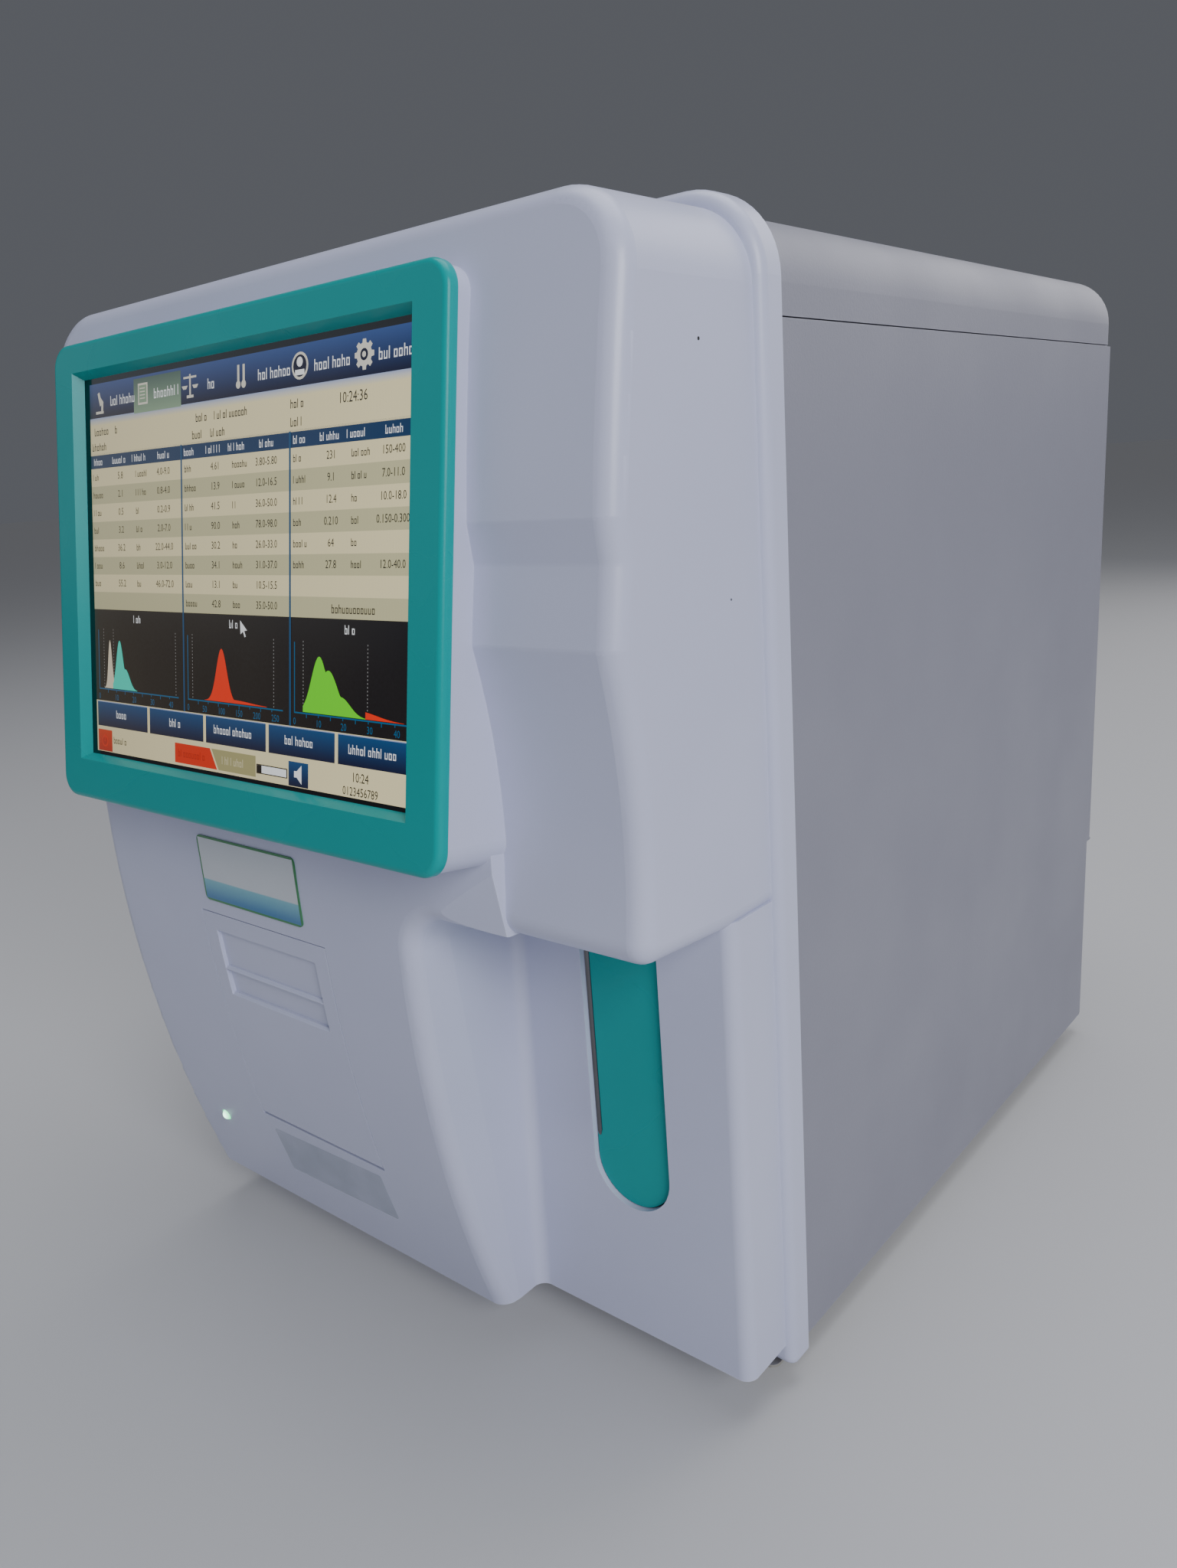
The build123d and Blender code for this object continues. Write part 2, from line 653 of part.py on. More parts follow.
def make_rear_parts():
    face = cabinet_depth + 0.3 + sheet
    inlet = box(inlet_x - 15.5, inlet_x + 15.5, face, face + 2.5, port_z - 12, port_z + 12)
    inlet = fillet(inlet.edges().filter_by(Axis.Y), 3)
    inlet += box(inlet_x - 13.8, inlet_x + 13.8, face - 24, face + 1, port_z - 10, port_z + 10)
    inlet -= box(inlet_x - 12, inlet_x + 12, face - 17, face + 3, port_z - 8, port_z + 8)
    for dx, dz in ((-7, -2), (0, 2), (7, -2)):
        inlet += box(inlet_x + dx - 1, inlet_x + dx + 1, face - 18, face - 2, port_z + dz - 2, port_z + dz + 2)
    frame = box(rocker_x - 8, rocker_x + 8, face, face + 2, port_z - 12, port_z + 12)
    frame = fillet(frame.edges().filter_by(Axis.Y), 1.5)
    frame += box(rocker_x - 6.4, rocker_x + 6.4, face - 16, face + 1, port_z - 9.8, port_z + 9.8)
    frame -= box(rocker_x - 5, rocker_x + 5, face - 9, face + 3, port_z - 8.8, port_z + 8.8)
    rocker = rod_x(face - 2.5, port_z, rocker_x - 4.8, rocker_x + 4.8, 8.2) & box(
        rocker_x - 5, rocker_x + 5, face - 4, face + 4.5, port_z - 9, port_z + 9)
    rocker -= rod_x(face + 17, port_z, rocker_x - 5, rocker_x + 5, 15)
    fittings = []
    for x in fitting_places():
        fit = rod_y(x, port_z + 10, face, face + 4, 7) + rod_y(x, port_z + 10, face - 12, face + 1, 4)
        fit += rod_y(x, port_z + 10, face + 4, face + 14, 2.4)
        for step in range(3):
            barb = Pos(x, face + 7 + 3 * step, port_z + 10) * Rot(90, 0, 0) * Cone(3.4, 2.4, 2.4)
            fit += barb
        fit -= rod_y(x, port_z + 10, face - 13, face + 15, 1.3)
        fittings.append(fit)
    sockets = box(-44.8, -7.2, face, face + 1.5, port_z - 10, port_z + 10)
    sockets += box(-43.6, -8.4, face - 14, face + 0.5, port_z - 8.6, port_z + 8.6)
    for x in (-38, -28):
        sockets -= box(x - 3.6, x + 3.6, face - 11, face + 3, port_z - 7, port_z + 7)
        sockets += box(x - 1, x + 1, face - 12, face - 1, port_z - 5.5, port_z + 5.5)
    sockets -= box(-21.5, -10.5, face - 12, face + 3, port_z - 5, port_z + 5)
    ground = rod_y(ground_x, port_z, face - 8, face + 9, 2) + rod_y(ground_x, port_z, face, face + 2.4, 4.5)
    return inlet, frame, rocker, fittings, sockets, ground


def make_fan():
    face = cabinet_depth + rear_flange - sheet
    y0, y1 = face - fan_thick - 0.2, face - 0.2
    frame = box(fan_x - fan_size / 2, fan_x + fan_size / 2, y0, y1, fan_z - fan_size / 2, fan_z + fan_size / 2)
    frame = fillet(frame.edges().filter_by(Axis.Y), 4)
    frame -= rod_y(fan_x, fan_z, y0 - 1, y1 + 1, fan_size / 2 - 2)
    frame += rod_y(fan_x, fan_z, y0, y0 + 3, 15)
    spider = Box(fan_size - 3, 3, 4) + Box(4, 3, fan_size - 3)
    frame += Pos(fan_x, y0 + 1.5, fan_z) * Rot(0, 45, 0) * spider
    for dx in (-1, 1):
        for dz in (-1, 1):
            frame -= rod_y(fan_x + dx * fan_hole, fan_z + dz * fan_hole, y0 - 1, y1 + 1, 2.2)
    rotor = rod_y(fan_x, fan_z, y0 + 3.3, y1 - 2, 15)
    rotor = fillet(rotor.edges().sort_by(Axis.Y)[-1], 2)
    blade = Pos(0, 0, 25) * Rot(0, 0, 32) * Box(1.6, 19, 22.5)
    middle = (y0 + 3.3 + y1 - 2) / 2
    for turn in range(7):
        rotor += Pos(fan_x, middle, fan_z) * Rot(0, turn * 360 / 7, 0) * blade
    plane_y = cabinet_depth + rear_flange
    ring = rod_y(fan_x, fan_z, plane_y + 0.3, plane_y + 2.2, 11) - rod_y(fan_x, fan_z, plane_y, plane_y + 3, 9)
    for radius in (18, 26, 34):
        ring += rod_y(fan_x, fan_z, plane_y + 0.3, plane_y + 2.2, radius + 1) \
            - rod_y(fan_x, fan_z, plane_y, plane_y + 3, radius - 1)
    cross = Box(2 * fan_hole * 1.414 + 4, 1.6, 1.8) + Box(1.8, 1.6, 2 * fan_hole * 1.414 + 4)
    ring += Pos(fan_x, plane_y + 0.9, fan_z) * Rot(0, 45, 0) * cross
    for dx in (-1, 1):
        for dz in (-1, 1):
            ring += rod_y(fan_x + dx * fan_hole, fan_z + dz * fan_hole, plane_y + 0.1, plane_y + 1.8, 4)
    return frame, rotor, ring


def make_base():
    base = box(-cabinet_half + 1.5, cabinet_half - 1.5, -16, cabinet_depth - 0.5, foot_height - 1.0, 12.4)
    base = fillet(base.edges().filter_by(Axis.Z), 4)
    for x in foot_x:
        for y in foot_y:
            base -= rod(x, y, 5, 20, 2.5)
    for slot in vents(-120, 0, 5, 1, 22, 10, 14):
        base -= Pos(0, 180, foot_height) * slot
    feet = []
    for x in foot_x:
        for y in foot_y:
            foot = rod(x, y, 0, foot_height - 1.0, foot_radius)
            foot = fillet(foot.edges().sort_by(Axis.Z)[0], 2)
            foot += rod(x, y, foot_height - 2, foot_height + 1.5, 2.45)
            foot -= rod(x, y, -1, 3, 4)
            feet.append(foot)
    return base, feet


def make_deck():
    """Upright sheet that parts the wet side from the electronics."""
    deck = box(deck_x, deck_x + 1.5, 8, cabinet_depth - 8, 12.7, 416)
    deck += box(deck_x, deck_x + 14, 8, cabinet_depth - 8, 12.7, 14.2)
    deck += box(deck_x - 14, deck_x + 1.5, 8, cabinet_depth - 8, 414.5, 416)
    deck -= box(deck_x - 2, deck_x + 3, 300, 345, 150, 300)
    for z in (120, 240, 360):
        deck -= rod_x(150, z, deck_x - 2, deck_x + 3, 9)
    return deck


def make_wet_side():
    wall = deck_x + 1.5
    baths = []
    for y in (60, 100):
        tub = rod(wall + 45, y, 170, 170 + bath_height, bath_radius)
        tub += Pos(wall + 45, y, 163) * Cone(3, bath_radius, 14)
        tub -= rod(wall + 45, y, 173, 230, bath_radius - 2.5)
        tub += rod_x(y, 180, wall + 56, wall + 66, 3)
        baths.append(tub)
    holder = box(wall, wall + 1.5, 35, 125, 160, 225) + box(wall, wall + 62, 35, 125, 186, 192)
    for y in (60, 100):
        holder -= rod(wall + 45, y, 180, 200, bath_radius)
    syringe_x, syringe_y = wall + 45, (175, 205)
    frame = box(wall, wall + 2, 150, 230, 60, 250) + box(wall, wall + 60, 150, 230, 60, 66)
    frame += box(wall, wall + 60, 150, 230, 186, 194)
    plungers = []
    for y in syringe_y:
        barrel = rod(syringe_x, y, 160, 235, plunger_radius + 3)
        barrel += rod(syringe_x, y, 235, 243, 3)
        frame += barrel
    for y in syringe_y:
        frame -= rod(syringe_x, y, 155, 230, plunger_radius)
        frame -= rod(syringe_x, y, 229, 245, 1)
        plunger = rod(syringe_x, y, 100, 200, plunger_radius - slide_clearance)
        plunger += box(syringe_x - 10, syringe_x + 10, y - 10, y + 10, 92, 100)
        plungers.append(plunger)
    motors = []
    for y in syringe_y:
        motor = box(syringe_x - 13, syringe_x + 13, y - 13, y + 13, 20, 59.7)
        motor = chamfer(motor.edges().filter_by(Axis.Z), 3)
        motors.append(motor)
    manifold = box(wall, wall + 50, 245, 245 + 4 * (valve_size + 5), 120, 138)
    manifold = chamfer(manifold.edges().filter_by(Axis.Y), 1.5)
    valves = []
    for place in range(valve_count):
        x = wall + 14 + (place % 2) * (valve_size + 6)
        y = 245 + (place // 2 + 0.5) * (valve_size + 5)
        body = box(x - valve_size / 2, x + valve_size / 2, y - valve_size / 2, y + valve_size / 2, 138.2, 162)
        valves.append(body + rod(x, y, 162, 168, 5) + rod(x, y, 168, 172, 2))
        manifold -= rod(x, y, 125, 140, 2)
    pumps = []
    for y in (265, 315):
        pump = rod_x(y, 40, wall + 20, wall + 60, pump_radius) + box(wall + 60, wall + 90, y - 14, y + 14, 24, 62)
        pumps.append(pump + box(wall + 16, wall + 60, y - 18, y + 18, 14.4, 26))
        for side in (-7, 7):
            pumps[-1] += rod(wall + 75, y + side, 62, 72, 2.5)
    tank = rod(wall + 40, 290, 240, 340, 26)
    tank = fillet(tank.edges(), 5)
    tank += rod(wall + 40, 290, 339, 350, 6)
    tank_clip = box(wall, wall + 14, 262, 318, 280, 296)
    tank_clip -= rod(wall + 40, 290, 200, 400, 26)
    return baths, holder, frame, plungers, motors, manifold, valves, pumps, tank, tank_clip


def make_dry_side():
    supply = box(-150, -30, 150, 330, 14.2, 60)
    supply -= box(-149, -31, 151, 329, 15.2, 59)
    for slot in vents(-130, 0, 5, 1, 22, 10, 14):
        for y in (180, 200, 280, 300):
            supply -= Pos(0, y, 60) * slot
    supply += box(-140, -40, 160, 320, 15.2, 17)
    supply += box(-120, -90, 200, 240, 17, 50) + box(-75, -50, 190, 300, 17, 45)
    board_x = deck_x - 12
    board = box(board_x - 1.6, board_x, 40, 290, 90, 330)
    for y, z, dy, dz, dx in ((80, 280, 34, 34, 3), (150, 250, 24, 24, 2.5), (220, 290, 40, 16, 8), (90, 130, 50, 10, 9),
                             (180, 130, 60, 10, 9), (250, 200, 12, 60, 9), (130, 190, 18, 18, 6), (70, 210, 14, 30, 12)):
        board += box(board_x - 1.6 - dx, board_x - 1.5, y - dy / 2, y + dy / 2, z - dz / 2, z + dz / 2)
    for y in (46, 284):
        for z in (96, 324):
            board += rod_x(y, z, board_x - 0.5, deck_x - 0.2, 3)
    return supply, board


def make_screws():
    screws = []
    face = cabinet_depth + rear_flange
    for x in (-146, -50, 50, 146):
        for z in (rear_flange_low + 14, cabinet_top - top_cover_drop - 14):
            screws.append((x, face, z))
        for z in (cabinet_bottom + 17, rear_flange_low - 16):
            if abs(x) > fan_size:
                screws.append((x, cabinet_depth + panel_gap + sheet, z))
    heads = []
    for x, y, z in screws:
        head = rod_y(x, z, y + 0.02, y + 2.0, 3.2)
        head = chamfer(head.edges().sort_by(Axis.Y)[-1], 0.9)
        head -= Pos(x, y + 2.0, z) * Box(0.9, 1.6, 4) + Pos(x, y + 2.0, z) * Box(4, 1.6, 0.9)
        heads.append(head)
    return heads


def collect():
    cover = make_cover()
    add("front_cover", cover)
    add("screen_bezel", make_bezel())
    glass, module, plate = make_lcd()
    add("touch_glass", glass)
    add("lcd_module", module)
    add("lcd_bracket", plate)
    add("printer_door", make_door_pins(make_door()))
    add("printer_bay", make_bay())
    roll, shaft, platen, printer = make_printer()
    add("paper_roll", roll)
    add("paper_shaft", shaft)
    add("platen_roller", platen)
    add("printer_mechanism", printer)
    key, bracket, pin, switch = make_key()
    add("aspirate_key", key)
    add("key_bracket", bracket)
    add("key_pin", pin)
    add("key_switch", switch)
    needle, block, rods, carriage, screw, frame, motor = make_probe()
    add("sample_probe", needle)
    add("rinse_block", block)
    add("probe_guide_rods", Compound(rods))
    add("probe_carriage", carriage)
    add("probe_lead_screw", screw)
    add("probe_frame", frame)
    add("probe_motor", motor)
    lamp = lamp_rod(lamp_radius, lamp_face, lamp_face + 9) + Pos(lamp_x, lamp_face, lamp_z) * Sphere(lamp_radius)
    add("status_lamp", lamp)
    add("top_cover", make_top_cover())
    add("right_side_panel", make_side(1))
    add("left_side_panel", make_side(-1))
    add("rear_panel", make_rear())
    add("port_plate", make_port_plate())
    inlet, rocker_frame, rocker, fittings, sockets, ground = make_rear_parts()
    add("power_inlet", inlet)
    add("rocker_frame", rocker_frame)
    add("power_rocker", rocker)
    add("reagent_fittings", Compound(fittings))
    add("data_sockets", sockets)
    add("ground_stud", ground)
    fan, rotor, guard = make_fan()
    add("fan_frame", fan)
    add("fan_rotor", rotor)
    add("fan_guard", guard)
    base, feet = make_base()
    add("base_plate", base)
    add("rubber_feet", Compound(feet))
    add("mid_deck", make_deck())
    wet = make_wet_side()
    baths, holder, syringes, plungers, motors, manifold, valves, pumps, tank, clip = wet
    add("counting_baths", Compound(baths))
    add("bath_holder", holder)
    add("syringe_frame", syringes)
    add("sample_plunger", plungers[0])
    add("diluent_plunger", plungers[1])
    add("syringe_motors", Compound(motors))
    add("valve_manifold", manifold)
    add("solenoid_valves", Compound(valves))
    add("fluid_pumps", Compound(pumps))
    add("vacuum_chamber", tank)
    add("chamber_clip", clip)
    supply, board = make_dry_side()
    add("power_supply", supply)
    add("main_board", board)
    add("panel_screws", Compound(make_screws()))


if __name__ == "__main__":
    collect()
    boxes = [shape.bounding_box() for shape in PARTS.values()]
    front = min(b.min.Y for b in boxes)
    rear = max(b.max.Y for b in boxes)
    print("front %.3f rear %.3f" % (front, rear))
    os.makedirs("parts", exist_ok=True)
    for name, shape in PARTS.items():
        moved = Pos(0, -(front + rear) / 2, 0) * shape
        export_step(moved, "parts/%s.step" % name)
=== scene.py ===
import bpy
import math
import random
from mathutils import Matrix, Vector
from mathutils.bvhtree import BVHTree


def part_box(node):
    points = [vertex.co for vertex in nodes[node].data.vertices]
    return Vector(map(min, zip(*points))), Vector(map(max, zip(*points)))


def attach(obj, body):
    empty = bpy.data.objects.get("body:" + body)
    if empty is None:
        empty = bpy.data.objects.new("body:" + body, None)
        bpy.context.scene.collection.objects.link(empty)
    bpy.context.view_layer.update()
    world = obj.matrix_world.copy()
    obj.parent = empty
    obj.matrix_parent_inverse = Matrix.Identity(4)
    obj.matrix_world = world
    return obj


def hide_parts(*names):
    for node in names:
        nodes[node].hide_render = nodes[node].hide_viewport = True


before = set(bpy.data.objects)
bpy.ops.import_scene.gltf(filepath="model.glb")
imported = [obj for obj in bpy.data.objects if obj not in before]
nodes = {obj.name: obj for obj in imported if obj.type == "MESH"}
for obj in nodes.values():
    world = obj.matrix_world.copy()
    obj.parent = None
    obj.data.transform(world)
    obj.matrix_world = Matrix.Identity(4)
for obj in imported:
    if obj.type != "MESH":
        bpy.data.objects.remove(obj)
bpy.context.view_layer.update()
print("frame loaded with", len(nodes), "nodes")


# camera, floor and light

cameraView = {
    "place": (0.3837, -0.4954, 0.3818),
    "yaw": 40.67,  # turned left from straight ahead, degrees
    "pitch": 15.16,  # looking down
    "roll": 4.2,
    "lens": 26.97,
}


def makeCamera(view):
    yaw, pitch, roll = (math.radians(view[key]) for key in ("yaw", "pitch", "roll"))
    ahead = Vector((-math.sin(yaw) * math.cos(pitch), math.cos(yaw) * math.cos(pitch), -math.sin(pitch)))
    level = Vector((math.cos(yaw), math.sin(yaw), 0))
    drop = ahead.cross(level)
    right = level * math.cos(roll) + drop * math.sin(roll)
    down = drop * math.cos(roll) - level * math.sin(roll)
    data = bpy.data.cameras.new("photoCamera")
    data.lens = view["lens"]
    data.sensor_width = 36
    data.clip_start = 0.01
    data.clip_end = 200
    camera = bpy.data.objects.new("photoCamera", data)
    bpy.context.scene.collection.objects.link(camera)
    turn = Matrix((right, -down, -ahead)).transposed().to_4x4()
    camera.matrix_world = Matrix.Translation(view["place"]) @ turn
    bpy.context.scene.camera = camera


lightRig = {
    "worldColour": (0.80, 0.84, 0.95),
    "worldStrength": 0.13,
    "lamps": [
        # name, place, aims at, side length, watts, colour
        ("keyLamp", (2.0, -1.15, 1.30), (0.1, -0.1, 0.28), 1.1, 40, (0.93, 0.95, 1.0)),
        ("skyLamp", (0.1, 0.2, 2.4), (0.0, 0.0, 0.3), 1.8, 30, (0.93, 0.95, 1.0)),
        ("leftFill", (-1.9, -1.5, 1.2), (0.0, -0.1, 0.25), 1.4, 3, (0.80, 0.90, 1.0)),
        ("rearFill", (0.6, 2.2, 1.4), (0.0, 0.0, 0.25), 1.6, 16, (1.0, 0.98, 0.97)),
    ],
    "floorSize": 60.0,
    "floorColour": (0.50, 0.50, 0.51),
    "floorGlow": 0.10,  # keeps the far floor as pale as the near one
}


def makeLamp(name, place, target, size, watts, colour):
    data = bpy.data.lights.new(name, "AREA")
    data.size = size
    data.energy = watts
    data.color = colour
    lamp = bpy.data.objects.new(name, data)
    bpy.context.scene.collection.objects.link(lamp)
    lamp.location = place
    lamp.rotation_euler = (Vector(target) - Vector(place)).to_track_quat("-Z", "Y").to_euler()


def makeStage(rig):
    world = bpy.data.worlds.new("softRoom")
    world.use_nodes = True
    back = world.node_tree.nodes["Background"]
    back.inputs["Color"].default_value = (*rig["worldColour"], 1)
    back.inputs["Strength"].default_value = rig["worldStrength"]
    bpy.context.scene.world = world
    for lamp in rig["lamps"]:
        makeLamp(*lamp)
    half = rig["floorSize"] / 2
    mesh = bpy.data.meshes.new("paleFloor")
    mesh.from_pydata([(-half, -half, 0), (half, -half, 0), (half, half, 0), (-half, half, 0)], [], [(0, 1, 2, 3)])
    floor = bpy.data.objects.new("paleFloor", mesh)
    bpy.context.scene.collection.objects.link(floor)
    paint = bpy.data.materials.new("paleFloor")
    paint.use_nodes = True
    shader = paint.node_tree.nodes["Principled BSDF"]
    shader.inputs["Base Color"].default_value = (*rig["floorColour"], 1)
    shader.inputs["Roughness"].default_value = 0.85
    shader.inputs["Emission Color"].default_value = (*rig["floorColour"], 1)
    shader.inputs["Emission Strength"].default_value = rig["floorGlow"]
    mesh.materials.append(paint)


makeCamera(cameraView)
makeStage(lightRig)
print("camera, lamps and floor placed")


# shared shader effects

def startGroup(name, inputs, outputs):
    # inputs have a label and a first value, or None for a vector; outputs are plain numbers
    tree = bpy.data.node_groups.new(name, "ShaderNodeTree")
    for label, value in inputs.items():
        kind = "NodeSocketVector" if value is None else "NodeSocketFloat"
        socket = tree.interface.new_socket(name=label, in_out="INPUT", socket_type=kind)
        if value is not None:
            socket.default_value = value
    for label in outputs:
        tree.interface.new_socket(name=label, in_out="OUTPUT", socket_type="NodeSocketFloat")
    return tree, tree.nodes.new("NodeGroupInput").outputs, tree.nodes.new("NodeGroupOutput").inputs


def fill(tree, socket, value):
    # joins an input to another node's output, or sets its value
    if isinstance(value, bpy.types.NodeSocket):
        tree.links.new(value, socket)
    elif value is not None:
        socket.default_value = (*value, 1) if socket.type == "RGBA" else value


def addNode(tree, kind, settings=None, values=None):
    node = tree.nodes.new(kind)
    for key, value in (settings or {}).items():
        setattr(node, key, value)
    for key, value in (values or {}).items():
        fill(tree, node.inputs[key], value)
    return node


def maths(tree, operation, first, second=None):
    return addNode(tree, "ShaderNodeMath", {"operation": operation}, {0: first, 1: second}).outputs[0]


def times(tree, first, second):
    return maths(tree, "MULTIPLY", first, second)


def axesOf(tree, source):
    return addNode(tree, "ShaderNodeSeparateXYZ", None, {0: source}).outputs


def spread(tree, source, low, high, newLow=0.0, newHigh=1.0):
    return addNode(tree, "ShaderNodeMapRange", None, {
        "Value": source, "From Min": low, "From Max": high, "To Min": newLow, "To Max": newHigh}).outputs["Result"]


def addNoise(tree, place, scale, detail, roughness=0.5):
    return addNode(tree, "ShaderNodeTexNoise", None, {
        "Vector": place, "Scale": scale, "Detail": detail, "Roughness": roughness}).outputs["Fac"]


noiseBand = (0.3, 0.7)  # nearly all of a noise lies between these
fleckRate = 1.9  # flecks to each grain


def makeMoldedGrain():
    # fine texture of moulded plastic or paint, with a slow drift of tone
    tree, take, give = startGroup("moldedGrain", {
        "Vector": None, "Grains per metre": 1500.0, "Drift per metre": 14.0}, ("Height", "Tone", "Fleck"))
    place, grains = take["Vector"], take["Grains per metre"]
    fill(tree, give["Height"], addNoise(tree, place, grains, 3.0, 0.6))
    fill(tree, give["Tone"], spread(tree, addNoise(tree, place, take["Drift per metre"], 2.0), *noiseBand))
    fill(tree, give["Fleck"], spread(tree, addNoise(tree, place, times(tree, grains, fleckRate), 1.0), *noiseBand))
    return tree


def makeEdgeWear():
    # bright where a rounded normal leaves the true one, broken up by noise
    tree, take, give = startGroup("edgeWear", {"Vector": None, "Reach": 0.0012, "Breaks per metre": 90.0}, ("Mask",))
    soft = addNode(tree, "ShaderNodeBevel", {"samples": 4}, {"Radius": take["Reach"]}).outputs["Normal"]
    true = addNode(tree, "ShaderNodeNewGeometry").outputs["Normal"]
    alike = addNode(tree, "ShaderNodeVectorMath", {"operation": "DOT_PRODUCT"}, {0: soft, 1: true}).outputs["Value"]
    breaks = addNoise(tree, take["Vector"], take["Breaks per metre"], 4.0)
    fill(tree, give["Mask"], times(tree, spread(tree, alike, 0.995, 0.82), spread(tree, breaks, 0.38, 0.62, 0.15)))
    return tree


def makeDust():
    # thin dust on what faces up, and rare dark specks anywhere
    tree, take, give = startGroup("settledDust", {"Vector": None, "Specks per metre": 26.0}, ("Film", "Specks"))
    rise = axesOf(tree, addNode(tree, "ShaderNodeNewGeometry").outputs["Normal"])["Z"]
    patches = addNoise(tree, take["Vector"], 60.0, 6.0, 0.7)
    cells = addNode(tree, "ShaderNodeTexVoronoi", None, {
        "Vector": take["Vector"], "Scale": take["Specks per metre"]}).outputs
    chance = addNode(tree, "ShaderNodeSeparateColor", None, {0: cells["Color"]}).outputs["Red"]
    near = spread(tree, cells["Distance"], 0.014, 0.024, 1.0, 0.0)
    fill(tree, give["Film"], times(tree, spread(tree, rise, 0.6, 0.98), spread(tree, patches, 0.35, 0.75)))
    fill(tree, give["Specks"], times(tree, near, spread(tree, chance, 0.93, 0.935)))
    return tree


effects = {"grain": makeMoldedGrain(), "wear": makeEdgeWear(), "dust": makeDust()}
print("shader groups built")


# materials

usualFinish = {"metal": 0, "dust": 0, "specks": 0, "specular": 0.5}  # where a finish doesn't say
dirt = {"film": (0.55, 0.53, 0.50), "speck": (0.10, 0.09, 0.08)}

finishes = {
    # tone is the second colour and mottle how far it shows, spread that of rough, grains are per metre and
    # depth is theirs in metres, worn is the edges' colour and wear how far it shows
    "coverPlastic": {"colour": (0.60, 0.62, 0.79), "tone": (0.54, 0.56, 0.73), "mottle": 0.45, "rough": 0.34,
                     "spread": 0.08, "grains": 1500, "depth": 0.00003, "worn": (0.80, 0.82, 0.90), "wear": 0.35,
                     "dust": 0.25, "specks": 0.5},
    "tealPlastic": {"colour": (0.0, 0.36, 0.35), "tone": (0.0, 0.31, 0.30), "mottle": 0.4, "rough": 0.28,
                    "spread": 0.08, "grains": 1700, "depth": 0.00003, "worn": (0.03, 0.38, 0.37), "wear": 0.4,
                    "dust": 0.03, "specular": 0.22},
    "panelPaint": {"colour": (0.28, 0.28, 0.335), "tone": (0.245, 0.245, 0.295), "mottle": 0.5, "rough": 0.46,
                   "spread": 0.1, "grains": 900, "depth": 0.00012, "worn": (0.50, 0.50, 0.56), "wear": 0.35,
                   "dust": 0.25, "specks": 0.3},
    "zincPlate": {"colour": (0.46, 0.44, 0.38), "tone": (0.58, 0.56, 0.50), "mottle": 0.8, "rough": 0.38,
                  "spread": 0.2, "grains": 420, "depth": 0.00002, "worn": (0.75, 0.74, 0.70), "wear": 0.5,
                  "metal": 1, "dust": 0.2, "specks": 0.3},
    "brushedSteel": {"colour": (0.60, 0.60, 0.61), "tone": (0.50, 0.50, 0.51), "mottle": 0.5, "rough": 0.24,
                     "spread": 0.14, "grains": 2600, "depth": 0.00001, "worn": (0.85, 0.85, 0.86), "wear": 0.5,
                     "metal": 1},
    # the probe's stainless steel with its colour set far darker than brushedSteel: painted dark reflection along the
    # needle
    "needleSteelDarkReflection": {"colour": (0.16, 0.16, 0.17), "tone": (0.10, 0.10, 0.11), "mottle": 0.5, "rough": 0.22,
                    "spread": 0.1, "grains": 2600, "depth": 0.00001, "worn": (0.5, 0.5, 0.52), "wear": 0.3,
                    "metal": 1},
    "blackPlastic": {"colour": (0.018, 0.018, 0.020), "tone": (0.026, 0.026, 0.028), "mottle": 0.6, "rough": 0.45,
                     "spread": 0.12, "grains": 1800, "depth": 0.00004, "worn": (0.09, 0.09, 0.095), "wear": 0.5,
                     "dust": 0.3},
    "greyPlastic": {"colour": (0.20, 0.205, 0.215), "tone": (0.165, 0.17, 0.18), "mottle": 0.5, "rough": 0.48,
                    "spread": 0.1, "grains": 1500, "depth": 0.00004, "worn": (0.36, 0.36, 0.37), "wear": 0.4,
                    "dust": 0.2},
    "whitePlastic": {"colour": (0.74, 0.73, 0.70), "tone": (0.68, 0.66, 0.62), "mottle": 0.5, "rough": 0.42,
                     "spread": 0.1, "grains": 1500, "depth": 0.00003, "worn": (0.84, 0.83, 0.80), "wear": 0.3,
                     "dust": 0.1},
    "rubber": {"colour": (0.022, 0.021, 0.021), "tone": (0.045, 0.043, 0.042), "mottle": 0.8, "rough": 0.78,
               "spread": 0.12, "grains": 1100, "depth": 0.00008, "worn": (0.11, 0.105, 0.10), "wear": 0.6,
               "dust": 0.5},
    "thermalPaper": {"colour": (0.80, 0.79, 0.76), "tone": (0.74, 0.72, 0.68), "mottle": 0.6, "rough": 0.7,
                     "spread": 0.08, "grains": 2400, "depth": 0.00003, "worn": (0.66, 0.62, 0.56), "wear": 0.3},
    "boardGreen": {"colour": (0.012, 0.11, 0.045), "tone": (0.02, 0.16, 0.07), "mottle": 0.9, "rough": 0.35,
                   "spread": 0.15, "grains": 600, "depth": 0.00006, "worn": (0.42, 0.34, 0.12), "wear": 0.4,
                   "dust": 0.2},
    "brass": {"colour": (0.66, 0.47, 0.20), "tone": (0.52, 0.36, 0.15), "mottle": 0.6, "rough": 0.28,
              "spread": 0.15, "grains": 1500, "depth": 0.00002, "worn": (0.90, 0.72, 0.40), "wear": 0.5,
              "metal": 1},
}


def mixColour(tree, factor, first, second):
    return addNode(tree, "ShaderNodeMix", {"data_type": "RGBA"}, {
        "Factor": factor, "A": first, "B": second}).outputs["Result"]


def placeEffect(tree, key, place, values):
    return addNode(tree, "ShaderNodeGroup", {"node_tree": effects[key]}, {"Vector": place, **values}).outputs


def addBump(tree, height, strength, depth):
    return addNode(tree, "ShaderNodeBump", None, {
        "Strength": strength, "Distance": depth, "Height": height}).outputs["Normal"]


